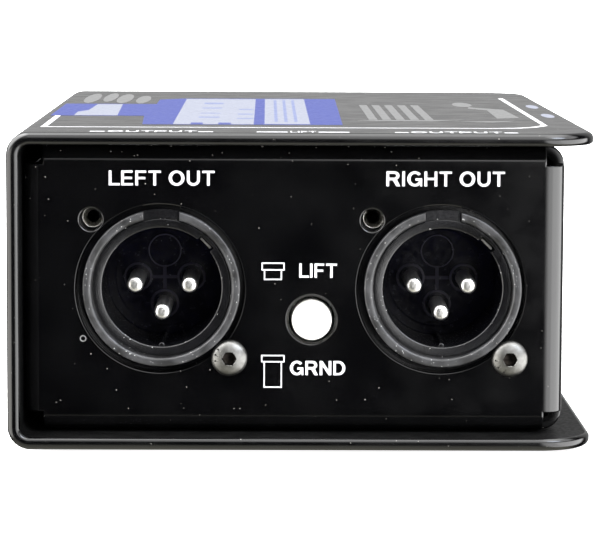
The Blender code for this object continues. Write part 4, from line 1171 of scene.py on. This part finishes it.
def front_print():
    """Labels over the outputs, and a button drawn out and in beside the ground-lift button."""
    at = Matrix.Translation((0, FRONT_PANEL, 0)) @ FRONT_TURN
    words = {  # the word, then its left, right, foot and top in millimetres
        "left_out": ("LEFT OUT", -27.65, -12.65, 38.62, 40.76),
        "right_out": ("RIGHT OUT", 12.1, 28.95, 38.64, 40.78),
        "lift": ("LIFT", -0.32, 4.95, 25.42, 27.46),
        "grnd": ("GRND", -1.6, 6.38, 11.28, 13.34),
    }
    for name, (word, *box) in words.items():
        printed(f"label_{name}", scaled(lettered(word, *box)), WHITE_INK, at)
    line = 0.18
    symbols = {  # head and body of each: left, right, foot and top
        "button_out": ((-5.74, -2.42, 26.44, 27.58), (-5.40, -2.80, 25.06, 26.44 + line)),
        "button_in": ((-5.76, -2.38, 13.12, 14.20), (-5.40, -2.75, 9.42, 13.12 + line)),
    }
    for name, (head, body) in symbols.items():
        left, right, low, high = body
        legs = [(left, high - line), (left, low), (right, low), (right, high - line)]
        legs += [(right - line, high - line), (right - line, low + line), (left + line, low + line)]
        legs.append((left + line, high - line))
        printed(f"symbol_{name}_head", scaled(box_line(*head, line)), WHITE_INK, at)
        printed(f"symbol_{name}_body", scaled([legs]), WHITE_INK, at)


def rear_print():
    """Labels over the jacks and beside the pad button, in local coordinates of the rear panel."""
    at = Matrix.Translation((0, REAR_PANEL, 0)) @ REAR_TURN
    for name in JACKS:
        across = -middle(f"{name}_nut").x / MM
        word = "THRU" if "thru" in name else "INPUT"
        half = 3.6 if word == "THRU" else 4.2
        loops = scaled(lettered(word, across - half, across + half, 35.2, 37.2))
        printed(f"label_{name}", loops, WHITE_INK, at)
    pad = middle("pad_cap")
    across, up = -pad.x / MM, pad.z / MM
    loops = scaled(lettered("PAD", across - 2.4, across + 2.4, up + 6.0, up + 7.8))
    printed("label_pad", loops, WHITE_INK, at)


def top_print():
    """Border, blue panel, generic blocks and labels on the top plate, in millimetres from its middle."""
    at = Matrix.Translation((0, 0, SLEEVE_HIGH.z - FILM))

    def top(name, look, *loops):
        printed(f"print_{name}", scaled(loops), look, at)

    line = 0.85
    left, right, front, back = -38.0, 36.6, -50.5, 40.0
    corner = [(29.0, 0.0), (32.0, 0.9), (34.5, 3.2), (right, 7.5)]
    border = [(left + line, -20.5), (left, -20.5), (left, front)]
    border += [(x, front + rise) for x, rise in corner] + [(right, back), (right - line, back)]
    border += [(x - 0.7, front + rise + line) for x, rise in reversed(corner)] + [(left + line, front + line)]
    top("border", WHITE_INK, border)

    words = (("OUTPUT", -30.2, -12.7, 2.1), ("LIFT", -6.5, 6.7, 4.4), ("OUTPUT", 13.2, 30.7, 1.9))
    for i, (word, start, end, dash) in enumerate(words):
        low, high, gap = -61.6, -58.4, 0.4
        dashes = [rectangle(x, x + dash, low + 0.2, low + 1.6) for x in (start, end - dash)]
        letters = lettered(word, start + dash + gap, end - dash - gap, low, high)
        top(f"label_{i}", WHITE_INK, *letters, *dashes)

    first, second = rectangle(-19.0, -7.0, -42.4, 33.5), rectangle(-5.4, 1.4, -41.5, 34.0)
    notches = [rectangle(-16.4, -14.6, -42.3, -38.2), rectangle(-12.3, -10.4, -42.3, -38.2)]
    rows = [rectangle(-15.6, -12.4, y, y + deep) for y, deep in ((-25, 3), (-13, 2), (2, 3), (16, 5))]
    rows += [rectangle(-9.6, -7.2, y, y + deep) for y, deep in ((-28, 2.5), (-16, 3), (-2, 3))]
    stripes = [rectangle(x, x + 0.5, -36, 30) for x in (-3.9, -2.4, -0.9)]
    patch = [(-35.2, -19.4), (-28.4, -19.4), (-29.2, 14.5), (-33.4, 14.5), (-33.8, -4.0), (-35.2, -9.0)]
    blue = [(6.2, -42.9), (6.8, 35.6), (-19.8, 34.8), (-23.6, 31.0), (-23.6, 16.0), (-38.8, 16.0)]
    blue += [(-38.8, -20.0), (-24.2, -20.0), (-23.5, -42.9)]
    top("blue", BLUE_INK, blue, first, second, patch)
    top("blue_marks", BLUE_INK, *notches)
    top("white_blocks", PALE_INK, first, second, patch, *notches, *rows, *stripes)
    top("pale_rows", PALE_BLUE_INK, *rows, *stripes)

    starts = (10.6, 12.7, 14.8, 17.0, 19.2)
    bars = [[(x, -29.0), (x + 1.3, -29.0), (x + 1.1, 15.0), (x - 0.2, 15.0)] for x in starts]
    base = [(8.6, -29.6), (12.0, -32.4), (20.0, -32.4), (25.6, -27.6), (20.0, -29.6)]
    mark = [(30.6, -24.5), (34.2, -22.0), (33.6, 2.0), (28.4, 9.0), (28.0, 5.0), (30.8, 0.0)]
    top("emblem", GREY_INK, *bars, base, mark)
    faint = [[(24.2, -33.0), (29.0, -35.0), (33.0, -30.6), (29.0, -31.8)]]
    blobs = ((27.8, 17, 1.6, 7), (-35.4, 35, 1.3, 16), (-32.4, 38, 1.1, 15))
    blobs += ((-29.7, 34, 1.3, 16), (-26.4, 31, 1.2, 13))
    faint += [oval(*blob, 32) for blob in blobs]
    top("faint_marks", GREY_INK, *faint)
    dots = [oval(39.2, y, 0.95, 5.6, 24) for y in (11.6, -15.8)]
    top("dots", PALE_INK, *dots)


# ---------------------------------------------------------------- inside, seen when it is opened


def pad_resistor(side):
    """Axial resistor with a waisted body and thin bent leads."""
    node = f"{side}_pad_resistor"
    low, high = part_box(node)
    centre = middle(node)
    body, lead, bend = 1.2 * MM, 0.3 * MM, 0.8 * MM
    level = high.z - body
    span = (high.x - low.x) / 2 - lead
    half = [(0.0, 0.86), (1.5, 0.86), (1.9, 0.9), (2.3, 1.0), (2.8, 1.0)]
    half += [(3.1, 0.88), (3.25, 0.6), (3.3, 0.26)]
    right = [(across * MM, level, share * body) for across, share in half]
    for angle in degrees(0, 91, 18):
        right.append((span - bend + bend * math.sin(angle), level - bend * (1 - math.cos(angle)), lead))
    right.append((span, low.z, lead))
    route = [(-across, z, radius) for across, z, radius in reversed(right[1:])] + right
    points = [(centre.x + across, centre.y, z) for across, z, _ in route]
    obj = solid(f"{side}_banded_resistor", swept(points, [radius for *_, radius in route], 24), None)
    obj.data.materials.append(banded_resistor(centre.x))
    return stands_for(obj, "resistor", node)


def dressed_nodes():
    """Better materials on the CAD pieces that keep their shape."""
    looks = {"circuit_board": solder_mask()}
    laminated, wound = laminations(), enamelled_winding()
    for side in SIDES:
        looks[f"{side}_xlr_shell_contact"] = STAINLESS
        looks[f"{side}_transformer_can"] = CAN_METAL
        looks[f"{side}_transformer_core"] = laminated
        looks[f"{side}_transformer_coil"] = wound
    for name in JACKS:
        looks[f"{name}_tip_contact"] = looks[f"{name}_sleeve_contact"] = SPRING_STEEL
    for name in ("ground_lift", "pad"):
        looks[f"{name}_body"] = looks[f"{name}_stem"] = SWITCH_PLASTIC
    for name, look in looks.items():
        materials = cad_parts[name].data.materials
        materials.clear()
        materials.append(look)


# ---------------------------------------------------------------- stage, light and camera


def floor():
    """Pale matt floor. The object's gloss reflects the studio instead of it."""
    look = Look("floor", Specular_IOR_Level=0.1, Emission_Color=rgb(1, 1, 1), Emission_Strength=0.95)
    colour = look.mix(look.noise(60.0), rgb(0.86, 0.86, 0.86), rgb(0.89, 0.89, 0.89))
    reach = 8.0
    bm = bmesh.new()
    bmesh.ops.create_grid(bm, x_segments=1, y_segments=1, size=reach)
    bmesh.ops.translate(bm, verts=bm.verts, vec=(0, 0, CAD_BOX[0][2] - 0.05 * MM))
    obj = solid("floor", bm, look.done(colour, look.mottle(20.0, 0.3, 0.7, 0.8, 0.9)))
    obj.visible_glossy = False


WHITE, COOL, WARM, OLIVE = (1.0, 1.0, 1.0), (0.72, 0.83, 1.0), (1.0, 0.98, 0.93), (1.0, 0.98, 0.84)
WALL_TOP = (0.22, 0.08)  # sine of the height where the walls have faded out, and where they start to fade
# direction, degrees from it fully lit, degrees from it where it has faded out, strength, tint
WALLS = (
    ((-0.95, -0.32, 0.15), 37, 47, 3.8, WARM),
    ((0.90, -0.44, 0.15), 47, 59, 4.0, WHITE),
    ((0.98, -0.17, 0.10), 36, 43, 1.5, WHITE),
)
LIGHTS = (
    ((-0.70, -0.05, 0.72), 28, 44, 8.0, WHITE),
    ((0.55, -0.55, 0.62), 8, 16, 8.0, COOL),
    ((0.62, -0.30, 0.72), 20, 34, 3.0, WHITE),
    ((0.30, -0.75, 0.60), 12, 32, 2.3, WHITE),
    ((0.0, 0.1, 1.0), 20, 40, 4.4, WHITE),
    ((0.0, -0.6, 0.8), 8, 40, 1.0, WHITE),
    ((0.0, 0.95, 0.30), 40, 60, 0.44, WHITE),
    ((0.0, -0.2, -1.0), 35, 62, 0.9, OLIVE),
    ((0.0, -1.0, 0.0), 30, 60, 0.008, WHITE),
)


def studio():
    """Walls of light left and right, softer lights above and behind, and the dark round the camera.

    The walls end a little above the horizon, so that the top plate doesn't mirror them when seen from behind.
    """
    world = bpy.data.worlds.new("studio")
    bpy.context.scene.world = world
    world.use_nodes = True
    nodes = Nodes(world.node_tree)
    towards = nodes.node("ShaderNodeTexCoord", {}).outputs["Generated"]

    def glow(total, lights):
        """Adds each light to a colour, as a round patch of the sky."""
        for direction, full, faded, strength, tint in lights:
            inputs = {0: towards, 1: Vector(direction).normalized()}
            dot = nodes.node("ShaderNodeVectorMath", inputs, operation="DOT_PRODUCT").outputs["Value"]
            share = nodes.span(dot, math.cos(math.radians(faded)), math.cos(math.radians(full)))
            colour = tuple(strength * part for part in tint)
            total = nodes.vector("ADD", total, nodes.vector("SCALE", colour, scale=share))
        return total

    below_top = nodes.span(nodes.part(towards, "Z"), *WALL_TOP)
    walls = nodes.vector("SCALE", glow((0.0, 0.0, 0.0), WALLS), scale=below_top)
    nodes.tree.links.new(glow(walls, LIGHTS), nodes.tree.nodes["Background"].inputs["Color"])


def camera():
    """A long lens in front of and a little above the object, fitted to the photograph's edges."""
    place = Vector((-5.054, -474.951, 71.477)) * MM
    yaw, pitch, roll = 0.0111, 0.1077, 0.0047  # radians: to the right, down, and round the line of sight
    ahead = Vector((math.sin(yaw) * math.cos(pitch), math.cos(yaw) * math.cos(pitch), -math.sin(pitch)))
    right = Vector((math.cos(yaw), -math.sin(yaw), 0))
    up = right.cross(ahead)
    rolled_right = right * math.cos(roll) + up * math.sin(roll)
    rolled_up = up * math.cos(roll) - right * math.sin(roll)
    data = bpy.data.cameras.new("camera")
    data.sensor_width = 36.0
    data.lens = 175.816
    data.clip_start, data.clip_end = 0.01, 50.0
    obj = bpy.data.objects.new("camera", data)
    bpy.context.scene.collection.objects.link(obj)
    turn = Matrix((rolled_right, rolled_up, -ahead)).transposed().to_4x4()
    obj.matrix_world = Matrix.Translation(place) @ turn
    bpy.context.scene.camera = obj


camera()
floor()
studio()
bpy.context.scene.view_settings.view_transform = "Standard"

sleeve()
chassis()
no_slip_pad()
for side in SIDES:
    xlr_housing(side)
    xlr_insert(side)
    for number, centre in PIN_PLACES.items():
        xlr_pin(side, number, centre)
    panel_screw(side)
    spare_ear(side)
    pad_resistor(side)
for name in SLEEVE_SCREWS:
    sleeve_screw(name)
for name in JACKS:
    jack(name)
push_button("ground_lift", FRONT_TURN)
push_button("pad", REAR_TURN)
spring("ground_lift")
spring("pad")
paint_chip()
front_print()
rear_print()
top_print()
dressed_nodes()
